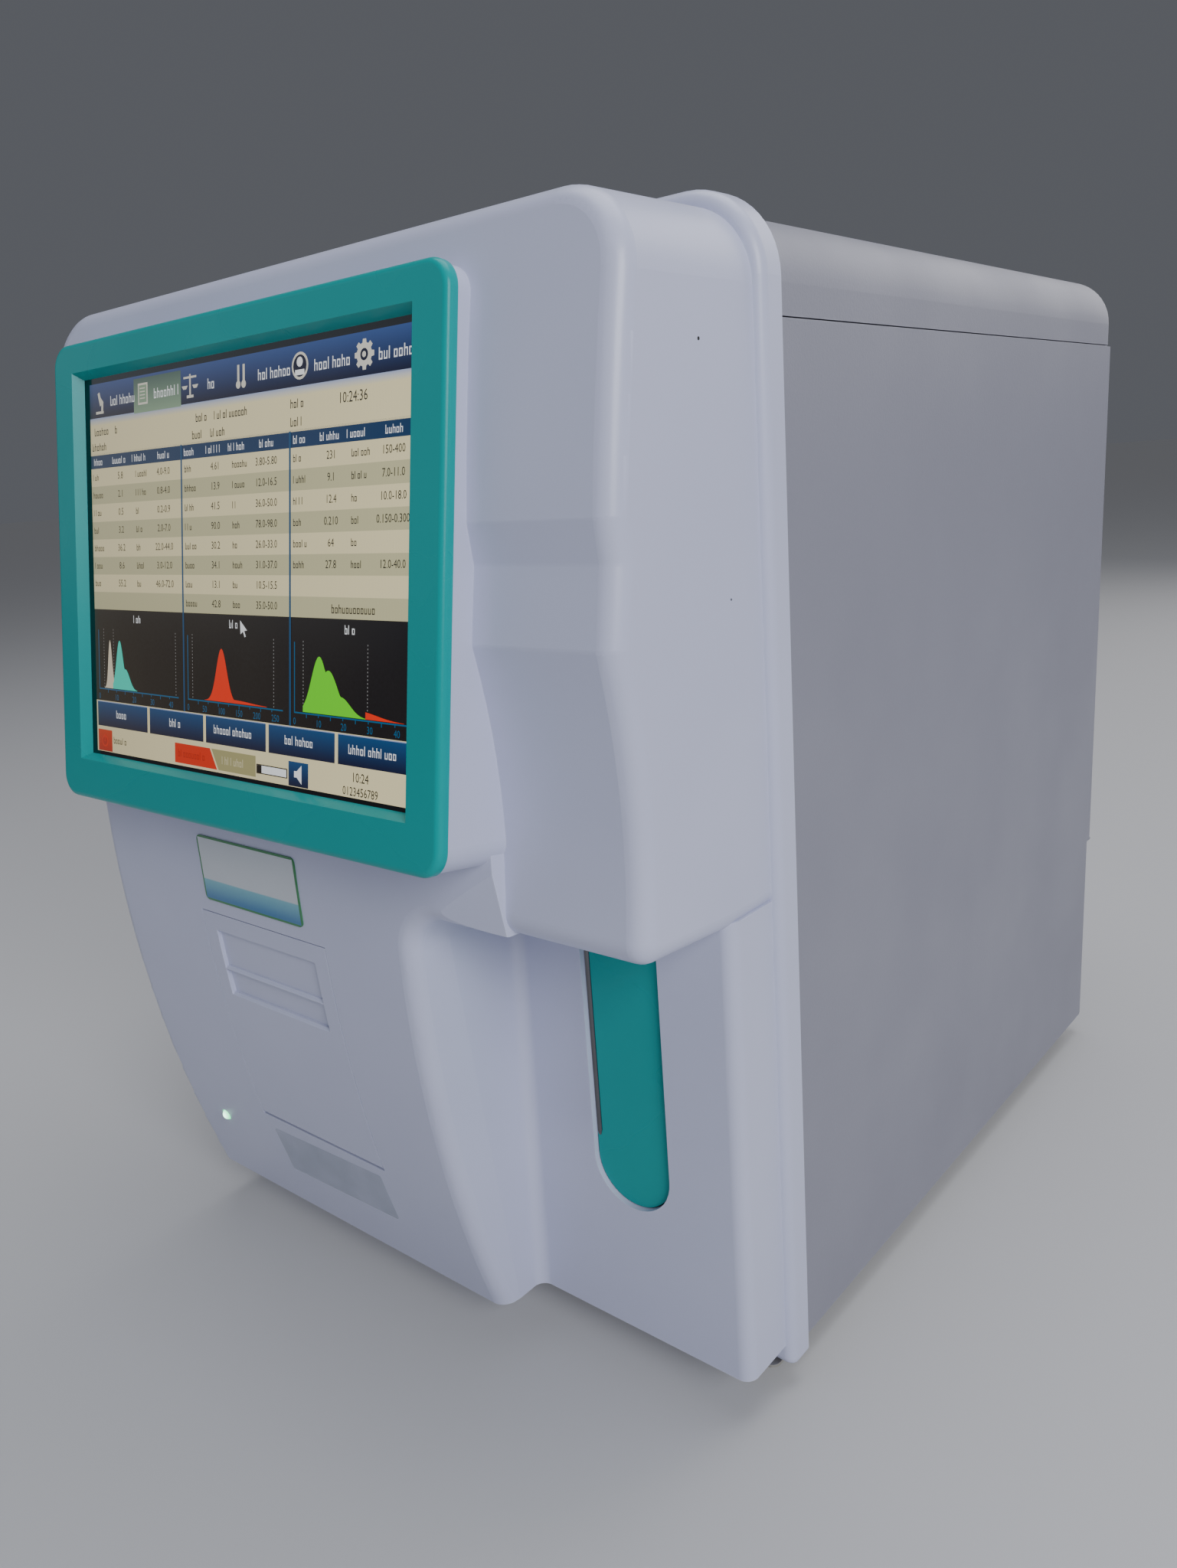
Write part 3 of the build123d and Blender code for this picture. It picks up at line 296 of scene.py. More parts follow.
def startMaterial(name):
    material = bpy.data.materials.new(name)
    material.use_nodes = True
    tree = material.node_tree
    return material, tree, addNode(tree, "ShaderNodeTexCoord").outputs["Object"]


def endMaterial(material, values):
    inputs = material.node_tree.nodes["Principled BSDF"].inputs
    for label, value in values.items():
        fill(material.node_tree, inputs[label], value)
    return material


def makeFinish(name, stated):
    look = {**usualFinish, **stated}
    material, tree, where = startMaterial(name)
    grain = placeEffect(tree, "grain", where, {"Grains per metre": look["grains"]})
    wear = placeEffect(tree, "wear", where, {})
    colour = mixColour(tree, times(tree, grain["Tone"], look["mottle"]), look["colour"], look["tone"])
    shade = tuple(0.9 * c for c in look["tone"])
    colour = mixColour(tree, times(tree, grain["Fleck"], 0.25 * look["mottle"]), colour, shade)
    colour = mixColour(tree, times(tree, wear["Mask"], look["wear"]), colour, look["worn"])
    if look["dust"] or look["specks"]:
        dust = placeEffect(tree, "dust", where, {})
        colour = mixColour(tree, times(tree, dust["Film"], look["dust"]), colour, dirt["film"])
        colour = mixColour(tree, times(tree, dust["Specks"], look["specks"]), colour, dirt["speck"])
    low, high = look["rough"] - look["spread"] / 2, look["rough"] + look["spread"] / 2
    return endMaterial(material, {
        "Base Color": colour, "Roughness": spread(tree, grain["Tone"], 0, 1, low, high),
        "Normal": addBump(tree, grain["Height"], 0.6, look["depth"]), "Metallic": look["metal"],
        "Specular IOR Level": look["specular"]})


materials = {name: makeFinish(name, look) for name, look in finishes.items()}
print("finishes made:", len(materials))


def makeGlassFace():
    # dark front of the touch panel, with faint wiping marks
    material, tree, where = startMaterial("touchGlass")
    grain = placeEffect(tree, "grain", where, {"Grains per metre": 60.0, "Drift per metre": 22.0})
    return endMaterial(material, {
        "Base Color": mixColour(tree, grain["Tone"], (0.004, 0.005, 0.007), (0.009, 0.010, 0.013)),
        "Roughness": spread(tree, grain["Height"], *noiseBand, 0.06, 0.16)})


lampLook = {
    # the colours are at the middle and at the rim
    "glow": ((0.55, 1.0, 0.72), (0.0, 0.42, 0.13)), "lens": ((0.5, 0.95, 0.7), (0.02, 0.45, 0.18)),
    "brightShare": 0.35, "strength": 4.0,
}


def makeLampLens():
    # green indicator, brightest at its middle
    material, tree, where = startMaterial("lampLens")
    low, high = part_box("status_lamp")
    middle = (low + high) / 2
    radius = (high.x - low.x) / 2
    centred = addNode(tree, "ShaderNodeMapping", {"vector_type": "POINT"}, {
        "Vector": where, "Location": (-middle.x, 0, -middle.z), "Scale": (1, 0, 1)}).outputs["Vector"]
    length = addNode(tree, "ShaderNodeVectorMath", {"operation": "LENGTH"}, {0: centred}).outputs["Value"]
    grain = placeEffect(tree, "grain", where, {"Grains per metre": 2500.0})
    outward = spread(tree, length, lampLook["brightShare"] * radius, radius)
    return endMaterial(material, {
        "Emission Color": mixColour(tree, outward, *lampLook["glow"]),
        "Base Color": mixColour(tree, outward, *lampLook["lens"]),
        "Roughness": spread(tree, grain["Tone"], 0, 1, 0.12, 0.25), "Emission Strength": lampLook["strength"]})


def makeClearTub():
    # milky see-through plastic of tubs and tanks
    material, tree, where = startMaterial("clearTub")
    grain = placeEffect(tree, "grain", where, {"Grains per metre": 900.0})
    return endMaterial(material, {
        "Base Color": mixColour(tree, grain["Tone"], (0.82, 0.86, 0.88), (0.70, 0.76, 0.80)),
        "Roughness": spread(tree, grain["Fleck"], 0, 1, 0.12, 0.3), "Transmission Weight": 0.55})


materials["touchGlass"] = makeGlassFace()
materials["lampLens"] = makeLampLens()
materials["clearTub"] = makeClearTub()

nodeFinish = {
    "coverPlastic": ["front_cover", "printer_door"],
    "tealPlastic": ["screen_bezel", "aspirate_key"],
    "panelPaint": ["top_cover", "right_side_panel", "left_side_panel", "rear_panel", "port_plate"],
    "touchGlass": ["touch_glass"],
    "lampLens": ["status_lamp"],
    "zincPlate": ["base_plate", "mid_deck", "lcd_bracket", "key_bracket", "probe_frame", "syringe_frame",
                  "bath_holder", "power_supply", "chamber_clip"],
    "needleSteelDarkReflection": ["sample_probe"],
    "brushedSteel": ["probe_guide_rods", "probe_lead_screw", "key_pin", "paper_shaft", "fan_guard",
                     "panel_screws"],
    "blackPlastic": ["printer_bay", "key_switch", "power_inlet", "rocker_frame", "power_rocker", "fan_frame",
                     "fan_rotor", "probe_motor", "syringe_motors", "solenoid_valves", "fluid_pumps"],
    "greyPlastic": ["lcd_module", "printer_mechanism", "probe_carriage", "data_sockets"],
    "whitePlastic": ["rinse_block", "sample_plunger", "diluent_plunger", "reagent_fittings"],
    "rubber": ["rubber_feet", "platen_roller"],
    "thermalPaper": ["paper_roll"],
    "boardGreen": ["main_board"],
    "brass": ["ground_stud"],
    "clearTub": ["counting_baths", "valve_manifold", "vacuum_chamber"],
}


def dressNodes(table):
    for finish, names in table.items():
        for name in names:
            data = nodes[name].data
            data.materials.clear()
            data.materials.append(materials[finish])
    dressed = {name for names in table.values() for name in names}
    missed = sorted(set(nodes) - dressed)
    print("nodes dressed:", len(dressed), "left over:", missed)


dressNodes(nodeFinish)


# places on the front: the screen's own plane, and points found on the moulded cover

screenPlane = {
    "foot": Vector((0.1065, -0.2479685, 0.252)),
    "tilt": 9.44,
    "litLeft": -0.2276,
    "litTop": 0.1805,
    "litWidth": 0.2112,
    "litHeight": 0.1584,
    "dotsAcross": 800,
    "dotsDown": 600,
    "lift": 0.00005,  # between one layer of the picture and the next
    "shownRight": 790,  # the bezel hides the picture past here
}


def onScreen(dotX, dotY, layer):
    plane = screenPlane
    tilt = math.radians(plane["tilt"])
    up = Vector((0, math.sin(tilt), math.cos(tilt)))
    out = Vector((0, -math.cos(tilt), math.sin(tilt)))
    across = plane["litLeft"] + plane["litWidth"] * min(dotX, plane["shownRight"]) / plane["dotsAcross"]
    rise = plane["litTop"] - plane["litHeight"] * dotY / plane["dotsDown"]
    return plane["foot"] + Vector((across, 0, 0)) + up * rise + out * plane["lift"] * (layer + 1)


def toLinear(red, green, blue):
    return tuple(((c / 255 + 0.055) / 1.055) ** 2.4 if c > 10 else c / 3294.6 for c in (red, green, blue))


def linkMesh(name, points, faces, finish, body="cabinet"):
    mesh = bpy.data.meshes.new(name)
    mesh.from_pydata(points, [], faces)
    mesh.update()
    piece = bpy.data.objects.new(name, mesh)
    bpy.context.scene.collection.objects.link(piece)
    mesh.materials.append(finish)
    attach(piece, body)
    return piece


def coverTree():
    # the cover and its door as one surface to lay labels on
    points, faces = [], []
    for name in ("front_cover", "printer_door"):
        data = nodes[name].data
        start = len(points)
        points += [v.co.copy() for v in data.vertices]
        faces += [[start + i for i in p.vertices] for p in data.polygons]
    return BVHTree.FromPolygons(points, faces)


coverSurface = coverTree()


def onCover(x, z, lift=0.0):
    hit, normal, _, _ = coverSurface.ray_cast(Vector((x, -0.4, z)), Vector((0, 1, 0)))
    return hit + normal * lift


# the picture on the screen

pictureColours = {
    "cream": (226, 219, 192), "creamDim": (205, 200, 176), "rowDark": (196, 193, 168),
    "navTop": (92, 108, 146), "navLow": (26, 34, 62), "navUnder": (176, 184, 206),
    "tabTop": (94, 112, 108), "tabLow": (150, 168, 150),
    "head": (46, 74, 104), "divide": (52, 96, 128), "plot": (27, 24, 28), "ink": (26, 20, 14),
    "inkDim": (62, 56, 44), "white": (236, 238, 240), "paleIcon": (214, 212, 204),
    "axis": (60, 116, 148), "dots": (150, 150, 150), "redPeak": (232, 62, 14), "cyanPeak": (112, 222, 206),
    "palePeak": (224, 216, 200), "greenPeak": (116, 222, 28),
    "buttonTop": (62, 98, 134), "buttonLow": (16, 30, 66), "redTag": (214, 84, 66), "beigeTag": (170, 166, 136),
    "powerTop": (208, 104, 84), "powerLow": (186, 56, 40),
}

sketch = {"points": [], "faces": [], "inks": []}
letterDice = random.Random(7)


def drawShape(corners, colour, layer, colourLow=None):
    # a flat shape on the screen; colourLow is for corners in its lower half
    upper = toLinear(*pictureColours[colour])
    lower = toLinear(*pictureColours[colourLow or colour])
    middle = (min(c[1] for c in corners) + max(c[1] for c in corners)) / 2
    start = len(sketch["points"])
    sketch["points"] += [onScreen(x, y, layer) for x, y in corners]
    sketch["faces"].append(list(range(start, start + len(corners)))[::-1])
    sketch["inks"] += [upper if y < middle else lower for _, y in corners][::-1]


def drawBox(x0, y0, x1, y1, colour, layer, colourLow=None):
    drawShape([(x0, y0), (x1, y0), (x1, y1), (x0, y1)], colour, layer, colourLow)


def drawWord(x, y, letters, colour, height=11, layer=3):
    # letters too small to read, each a few short strokes
    wide = height * 0.46
    thick = max(1.1, height * 0.125)
    for place in range(letters):
        left = x + place * (wide + height * 0.17)
        kind = letterDice.randrange(5)
        top = y - height * (1.0 if kind in (0, 3) or place == 0 else 0.68)
        drawBox(left, top, left + thick, y, colour, layer)
        if kind != 3:
            drawBox(left + wide - thick, y - height * 0.66, left + wide, y, colour, layer)
        if kind in (0, 1, 4):
            drawBox(left + thick, y - height * 0.68, left + wide - thick, y - height * 0.68 + thick, colour, layer)
        if kind in (1, 2, 4):
            drawBox(left + thick, y - thick, left + wide - thick, y, colour, layer)


numerals = []


def drawNumber(x, y, words, colour, height=12, layer=3):
    # x is the middle, y the foot of the digits
    numerals.append((x, y, words, colour, height, layer))


def drawNavBar():
    drawBox(0, 0, 800, 54, "navTop", 1, "navLow")
    drawBox(0, 54, 800, 66, "navUnder", 1, "cream")
    drawBox(137, 4, 271, 56, "tabTop", 2, "tabLow")
    for x, letters in ((66, 8), (196, 8), (342, 2), (466, 8), (592, 8), (722, 7)):
        drawWord(x, 38, letters, "white", 15)
    drawMicroscope(20, 14)
    drawBox(150, 12, 178, 44, "paleIcon", 3)
    drawBox(153, 15, 175, 41, "tabLow", 4)
    for line in range(4):
        drawBox(156, 19 + 5 * line, 171, 20.6 + 5 * line, "paleIcon", 5)
    drawScales(296, 12)
    for shift in (-7, 6):
        drawBox(426 + shift - 2.5, 12, 426 + shift + 2.5, 36, "paleIcon", 3)
        drawDisc(426 + shift, 39, 5.5, "paleIcon", 4)
    drawDisc(561, 28, 18, "paleIcon", 3)
    drawDisc(561, 28, 14.5, "navLow", 4)
    drawDisc(561, 23, 6.5, "white", 5)
    drawBox(551, 33, 571, 40, "white", 5)
    drawGear(694, 28, 19)


def drawDisc(x, y, radius, colour, layer, sides=20):
    turns = [2 * math.pi * k / sides for k in range(sides)]
    drawShape([(x + radius * math.sin(t), y - radius * math.cos(t)) for t in turns], colour, layer)


def drawGear(x, y, radius):
    for tooth in range(8):
        turn = math.pi * tooth / 4
        along, side = (math.sin(turn), -math.cos(turn)), (math.cos(turn), math.sin(turn))
        corners = [(0.6, -4.2), (1.0, -3.2), (1.0, 3.2), (0.6, 4.2)]
        drawShape([(x + along[0] * radius * r + side[0] * s, y + along[1] * radius * r + side[1] * s)
                   for r, s in corners], "paleIcon", 3)
    drawDisc(x, y, radius * 0.78, "paleIcon", 4)
    drawDisc(x, y, radius * 0.40, "navLow", 5)
    drawDisc(x, y, radius * 0.20, "paleIcon", 6)


def drawMicroscope(x, y):
    drawBox(x, y + 30, x + 24, y + 34, "paleIcon", 3)
    drawShape([(x + 6, y + 2), (x + 12, y), (x + 20, y + 20), (x + 13, y + 22)], "paleIcon", 3)
    drawShape([(x + 15, y + 8), (x + 24, y + 16), (x + 23, y + 30), (x + 17, y + 30), (x + 18, y + 18)],
              "paleIcon", 4)


def drawScales(x, y):
    drawBox(x - 2, y, x + 2, y + 32, "paleIcon", 3)
    drawBox(x - 9, y + 30, x + 9, y + 34, "paleIcon", 3)
    drawBox(x - 17, y + 3, x + 17, y + 6, "paleIcon", 4)
    for side in (-14, 14):
        drawShape([(x + side - 8, y + 16), (x + side + 8, y + 16), (x + side + 4, y + 21), (x + side - 4, y + 21)],
                  "paleIcon", 4)


tableColumns = {
    # left edge, header words' middles, rows in use
    "left": {"edge": 0, "heads": (26, 92, 152, 223), "rows": 7, "ink": "inkDim"},
    "mid": {"edge": 272, "heads": (293, 359, 416, 488), "rows": 8, "ink": "ink"},
    "right": {"edge": 540, "heads": (562, 628, 684, 756), "rows": 6, "ink": "ink"},
}

tableTop, rowHigh = 134, 28.5  # in dots of the screen, as all that is drawn on it

tableNumbers = {
    "left": [("5.8", "4.0-9.0"), ("2.1", "0.8-4.0"), ("0.5", "0.2-0.9"), ("3.2", "2.0-7.0"),
             ("36.2", "22.0-44.0"), ("8.6", "3.0-12.0"), ("55.2", "46.0-72.0")],
    "mid": [("4.61", "3.80-5.80"), ("13.9", "12.0-16.5"), ("41.5", "36.0-50.0"), ("90.0", "78.0-98.0"),
            ("30.2", "26.0-33.0"), ("34.1", "31.0-37.0"), ("13.1", "10.5-15.5"), ("42.8", "35.0-50.0")],
    "right": [("231", "150-400"), ("9.1", "7.0-11.0"), ("12.4", "10.0-18.0"), ("0.210", "0.150-0.300"),
              ("64", ""), ("27.8", "12.0-40.0")],
}


def drawTables():
    drawBox(0, 66, 800, 113, "cream", 1)
    drawBox(0, 110, 800, 134, "head", 1)
    for row in range(8):
        top = tableTop + rowHigh * row
        drawBox(0, top, 800, top + rowHigh, "rowDark" if row % 2 else "cream", 1)
    for x, y, before, after in ((14, 82, 6, 1), (6, 106, 6, 0), (310, 82, 4, 11), (300, 106, 4, 5),
                                (540, 82, 4, 0), (540, 106, 4, 0)):
        drawWord(x, y, before, "ink", 12)
        drawWord(x + before * 8.4 + 14, y, after, "ink", 12)
    drawNumber(672, 84, "10:24:36", "ink", 14)
    for name, table in tableColumns.items():
        for x, letters in zip(table["heads"], (4, 6, 6, 5)):
            drawWord(x - letters * 4, 129, letters, "white", 11)
        for row in range(table["rows"]):
            foot = tableTop + rowHigh * row + 19
            drawWord(table["edge"] + 6, foot, 3 + (row * 2) % 3, table["ink"], 10)
            result, span = tableNumbers[name][row]
            drawNumber(table["heads"][1], foot, result, table["ink"], 11)
            drawWord(table["heads"][2] - 14, foot, (6, 5, 2, 3, 2, 4, 2, 3)[row], table["ink"], 10)
            drawNumber(table["heads"][3] - 4, foot, span, table["ink"], 11)
    drawWord(630, 355, 12, "inkDim", 12)


def drawCurve(left, foot, peaks, step, colour, layer, right):
    # a filled rise made of columns; peaks are (middle, height, spread)
    x = left
    heights = []
    while x <= right:
        heights.append((x, max(h * math.exp(-((x - m) / s) ** 2) for m, h, s in peaks)))
        x += step
    for (xa, ha), (xb, hb) in zip(heights, heights[1:]):
        if ha > 0.4 or hb > 0.4:
            drawShape([(xa, foot - ha), (xb, foot - hb), (xb, foot), (xa, foot)], colour, layer)


def drawDots(x, top, foot):
    y = top
    while y < foot:
        drawBox(x, y, x + 1.4, y + 2, "dots", 3)
        y += 5


def drawPlots():
    drawBox(0, 362, 800, 514, "plot", 1)
    for x, letters in ((124, 3), (392, 3), (658, 3)):
        drawWord(x, 382, letters, "white", 12)
    for left, right, marks in ((12, 254, 5), (281, 522, 6), (549, 786, 5)):
        drawBox(left, 493, right, 495, "axis", 3)
        drawBox(left - 1, 396, left + 1, 495, "axis", 3)
        for place in range(1, 9):
            x = left + place * (right - left) / 9
            drawBox(x, 495, x + 1.5, 500 if place % 2 else 498, "axis", 3)
        step = 50 if marks == 6 else 10
        for place in range(marks):
            drawNumber(left + (right - left) * place / (marks - 0.6), 511, str(place * step), "axis", 10)
    drawCurve(24, 492, [(48, 80, 8.5)], 2, "palePeak", 3, 64)
    drawCurve(56, 492, [(79, 80, 15), (96, 34, 18)], 2, "cyanPeak", 4, 132)
    drawCurve(300, 492, [(371, 79, 19)], 2.5, "redPeak", 3, 500)
    drawCurve(400, 492, [(400, 5, 60)], 4, "redPeak", 4, 486)
    drawCurve(568, 492, [(604, 78, 24), (624, 60, 28), (650, 26, 28)], 2.5, "greenPeak", 3, 706)
    drawCurve(702, 492, [(690, 10, 50)], 4, "redPeak", 4, 778)
    for x in (28, 59, 246, 293, 500, 568, 705):
        drawDots(x, 394, 492)
    drawShape([(420, 370), (437, 384), (430, 385), (434, 393), (431, 394), (427, 386), (421, 390)], "white", 5)
    for x in (268, 537):
        drawBox(x, 112, x + 4, 514, "divide", 4)


def drawButtons():
    drawBox(0, 514, 800, 600, "cream", 1)
    for x0, x1, letters in ((4, 161, 4), (168, 321, 4), (328, 481, 12), (488, 638, 8), (645, 800, 12)):
        drawBox(x0, 516, x1, 557, "buttonTop", 2, "buttonLow")
        drawBox(x0, 515, x1, 516.5, "navUnder", 2)
        drawWord((x0 + x1) / 2 - letters * 4.6, 541, letters, "white", 13)
    drawBox(4, 563, 49, 599, "powerTop", 2, "powerLow")
    drawDisc(26, 582, 10, "redTag", 3)
    drawDisc(26, 582, 7, "powerLow", 4)
    drawBox(25, 570, 27.5, 583, "redTag", 5)
    drawWord(54, 584, 6, "inkDim", 11)
    drawShape([(241, 565), (338, 565), (357, 596), (241, 596)], "redTag", 2)
    drawWord(250, 586, 10, "powerLow", 12)
    drawShape([(342, 565), (456, 565), (456, 596), (361, 596)], "beigeTag", 2)
    drawWord(370, 586, 8, "creamDim", 12)
    drawBox(458, 576, 532, 590, "inkDim", 2)
    drawBox(460, 577.5, 530, 588.5, "white", 3)
    drawBox(460, 577.5, 471, 588.5, "plot", 4)
    drawBox(535, 564, 580, 599, "buttonTop", 2, "buttonLow")
    drawShape([(548, 577), (554, 577), (565, 568), (565, 595), (554, 586), (548, 586)], "white", 3)
    drawNumber(692, 578, "10:24", "ink", 13)
    drawNumber(692, 597, "0123456789", "ink", 12)


def numberMesh(words):
    # digits as flat faces, one unit high
    curve = bpy.data.curves.new("digits", "FONT")
    curve.body = words
    curve.align_x = "CENTER"
    curve.resolution_u = 2
    holder = bpy.data.objects.new("digits", curve)
    bpy.context.scene.collection.objects.link(holder)
    bpy.context.view_layer.update()
    flat = bpy.data.meshes.new_from_object(holder.evaluated_get(bpy.context.evaluated_depsgraph_get()))
    points = [v.co.copy() for v in flat.vertices]
    faces = [list(p.vertices) for p in flat.polygons]
    bpy.data.objects.remove(holder)
    bpy.data.curves.remove(curve)
    bpy.data.meshes.remove(flat)
    return points, faces


def drawNumerals():
    capital = 0.70  # height of a digit of the built-in face at size 1
    for x, y, words, colour, height, layer in numerals:
        if not words:
            continue
        points, faces = numberMesh(words)
        scale = height / capital
        start = len(sketch["points"])
        ink = toLinear(*pictureColours[colour])
        sketch["points"] += [onScreen(x + p.x * scale * 0.86, y - p.y * scale, layer) for p in points]
        for face in faces:
            sketch["faces"].append([start + i for i in face])
            sketch["inks"] += [ink] * len(face)


pictureLook = {
    "saturation": 1.3, "gamma": 1.22, "glow": 1.05, "specular": 0.25, "columnsPerMetre": 605.0, "columnDepth": 0.07,
    # leftPaintedShade: how much painted shade darkens the picture at its left edge
    "leftPaintedShade": 0.30, "cloud": 0.03,
}


def makePictureMaterial():
    # the picture's own colours, lit from behind, with the panel's fine grid of dots, and painted shade that darkens
    # and warms its left side
    look = pictureLook
    material, tree, where = startMaterial("screenPicture")
    ink = addNode(tree, "ShaderNodeAttribute", {"attribute_name": "ink"}).outputs["Color"]
    grain = placeEffect(tree, "grain", where, {"Grains per metre": 900.0, "Drift per metre": 9.0})
    dots = addNode(tree, "ShaderNodeTexWave", {"bands_direction": "X"}, {
        "Vector": where, "Scale": look["columnsPerMetre"]}).outputs["Fac"]
    # painted shade: a fixed gradient darkens and warms the picture towards its left edge
    left = screenPlane["foot"].x + screenPlane["litLeft"]
    paintedShade = spread(tree, axesOf(tree, where)["X"], left, left + screenPlane["litWidth"], look["leftPaintedShade"], 0.0)
    vivid = addNode(tree, "ShaderNodeHueSaturation", None, {
        "Saturation": look["saturation"], "Value": 1.0, "Color": ink}).outputs["Color"]
    deep = addNode(tree, "ShaderNodeGamma", None, {"Gamma": look["gamma"], "Color": vivid}).outputs["Color"]
    dimmed = mixColour(tree, paintedShade, deep, (0.10, 0.08, 0.05))
    ridged = mixColour(tree, times(tree, dots, look["columnDepth"]), dimmed, (0.0, 0.0, 0.0))
    clouded = mixColour(tree, times(tree, grain["Tone"], look["cloud"]), ridged, (0.30, 0.26, 0.20))
    return endMaterial(material, {
        "Emission Color": clouded, "Base Color": mixColour(tree, 0.96, clouded, (0.004, 0.004, 0.005)),
        "Roughness": spread(tree, grain["Height"], *noiseBand, 0.16, 0.26),
        "Specular IOR Level": look["specular"], "Emission Strength": look["glow"]})


def makePicture():
    drawNavBar()
    drawTables()
    drawPlots()
    drawButtons()
    drawNumerals()
    piece = linkMesh("screenPicture", sketch["points"], sketch["faces"], makePictureMaterial())
    colours = piece.data.color_attributes.new(name="ink", type="FLOAT_COLOR", domain="CORNER")
    for place, ink in enumerate(sketch["inks"]):
        colours.data[place].color = (*ink, 1)
    print("screen picture faces:", len(sketch["faces"]))


makePicture()


# plates and films stuck to the cover

frontPlate = {
    "left": -0.082, "right": -0.0105, "low": 0.2035, "high": 0.2345, "corner": 0.0025,
    "lift": 0.0006, "border": 0.0009, "bandHigh": 0.34,
}

sheetFoot = 0.00002  # how far a sheet's folded edge stays off the cover


def roundedOutline(left, right, low, high, corner, steps=5):
    points = []
    for x, z, start in ((right, high, 0), (left, high, 90), (left, low, 180), (right, low, 270)):
        cx = x - corner if x == right else x + corner
        cz = z - corner if z == high else z + corner
        for step in range(steps + 1):
            turn = math.radians(start + 90 * step / steps)
            points.append((cx + corner * math.cos(turn), cz + corner * math.sin(turn)))
    return points


def layOnCover(name, outline, lift, finish):
    # a thin sheet that follows the cover: rings of its outline, with a folded edge
    xs, zs = [p[0] for p in outline], [p[1] for p in outline]
    middle = ((min(xs) + max(xs)) / 2, (min(zs) + max(zs)) / 2)
    rings = 7
    points, faces = [], []
    for ring in range(rings + 1):
        share = ring / rings
        points += [onCover(middle[0] + (x - middle[0]) * share, middle[1] + (z - middle[1]) * share, lift)
                   for x, z in outline]
    count = len(outline)
    points += [onCover(x, z, sheetFoot) for x, z in outline]
    for ring in range(rings + 1):
        for k in range(count):
            a, b = ring * count + k, ring * count + (k + 1) % count
            faces.append([a, b, b + count, a + count][::-1])
    piece = linkMesh(name, points, faces, finish)
    piece.data.validate()
    return piece


def makePlateMaterial():
    # printed plate: white field, plain blue band along its foot, thin green line round it
    plate = frontPlate
    material, tree, where = startMaterial("printedPlate")
    axes = axesOf(tree, where)
    grain = placeEffect(tree, "grain", where, {"Grains per metre": 2400.0})
    bandTop = plate["low"] + (plate["high"] - plate["low"]) * plate["bandHigh"]
    band = spread(tree, axes["Z"], bandTop, bandTop - 0.0006)
    deep = spread(tree, axes["Z"], bandTop - 0.001, plate["low"] + 0.002)
    blue = mixColour(tree, deep, (0.20, 0.52, 0.62), (0.03, 0.20, 0.42))
    colour = mixColour(tree, band, (0.66, 0.70, 0.74), blue)
    sides = []
    for axis, low, high in (("X", plate["left"], plate["right"]), ("Z", plate["low"], plate["high"])):
        away = maths(tree, "ABSOLUTE", maths(tree, "SUBTRACT", axes[axis], (low + high) / 2))
        inner = (high - low) / 2 - plate["border"]
        sides.append(spread(tree, away, inner - 0.0001, inner))
    colour = mixColour(tree, maths(tree, "MAXIMUM", *sides), colour, (0.02, 0.22, 0.06))
    colour = mixColour(tree, times(tree, grain["Tone"], 0.12), colour, (0.45, 0.44, 0.46))
    return endMaterial(material, {
        "Base Color": colour, "Roughness": spread(tree, grain["Fleck"], 0, 1, 0.16, 0.28),
        "Normal": addBump(tree, grain["Height"], 0.3, 0.00003)})


def makeFilm():
    # see-through film gone grey at its edge
    material, tree, where = startMaterial("clearFilm")
    grain = placeEffect(tree, "grain", where, {"Grains per metre": 1400.0, "Drift per metre": 60.0})
    wear = placeEffect(tree, "wear", where, {"Reach": 0.0006})
    colour = mixColour(tree, grain["Tone"], (0.40, 0.46, 0.47), (0.34, 0.40, 0.41))
    return endMaterial(material, {
        "Base Color": mixColour(tree, wear["Mask"], colour, (0.55, 0.58, 0.60)),
        "Roughness": spread(tree, grain["Fleck"], 0, 1, 0.16, 0.3),
        "Alpha": spread(tree, grain["Tone"], 0, 1, 0.20, 0.30)})


smallMarks = {
    "filmLeft": -0.0840, "filmRight": -0.0030, "filmLow": 0.0505, "filmHigh": 0.0765, "filmCorner": 0.0012,
    "filmLift": 0.00025, "filmTurn": 2.0,
    # middle and radius of the round black marks on the right side: painted shade standing in for a hole in the seam,
    # then two specks
    "dots": [(0.16408, -0.1233, 0.4261, 0.0011), (0.16606, -0.1747, 0.4170, 0.0006),
             (0.16606, -0.1620, 0.3350, 0.0004)],
    "dotSides": 14,
}


def turnOutline(points, degrees):
    turn = math.radians(degrees)
    middleX = sum(x for x, _ in points) / len(points)
    middleZ = sum(z for _, z in points) / len(points)
    return [(middleX + (x - middleX) * math.cos(turn) - (z - middleZ) * math.sin(turn),
             middleZ + (x - middleX) * math.sin(turn) + (z - middleZ) * math.cos(turn)) for x, z in points]


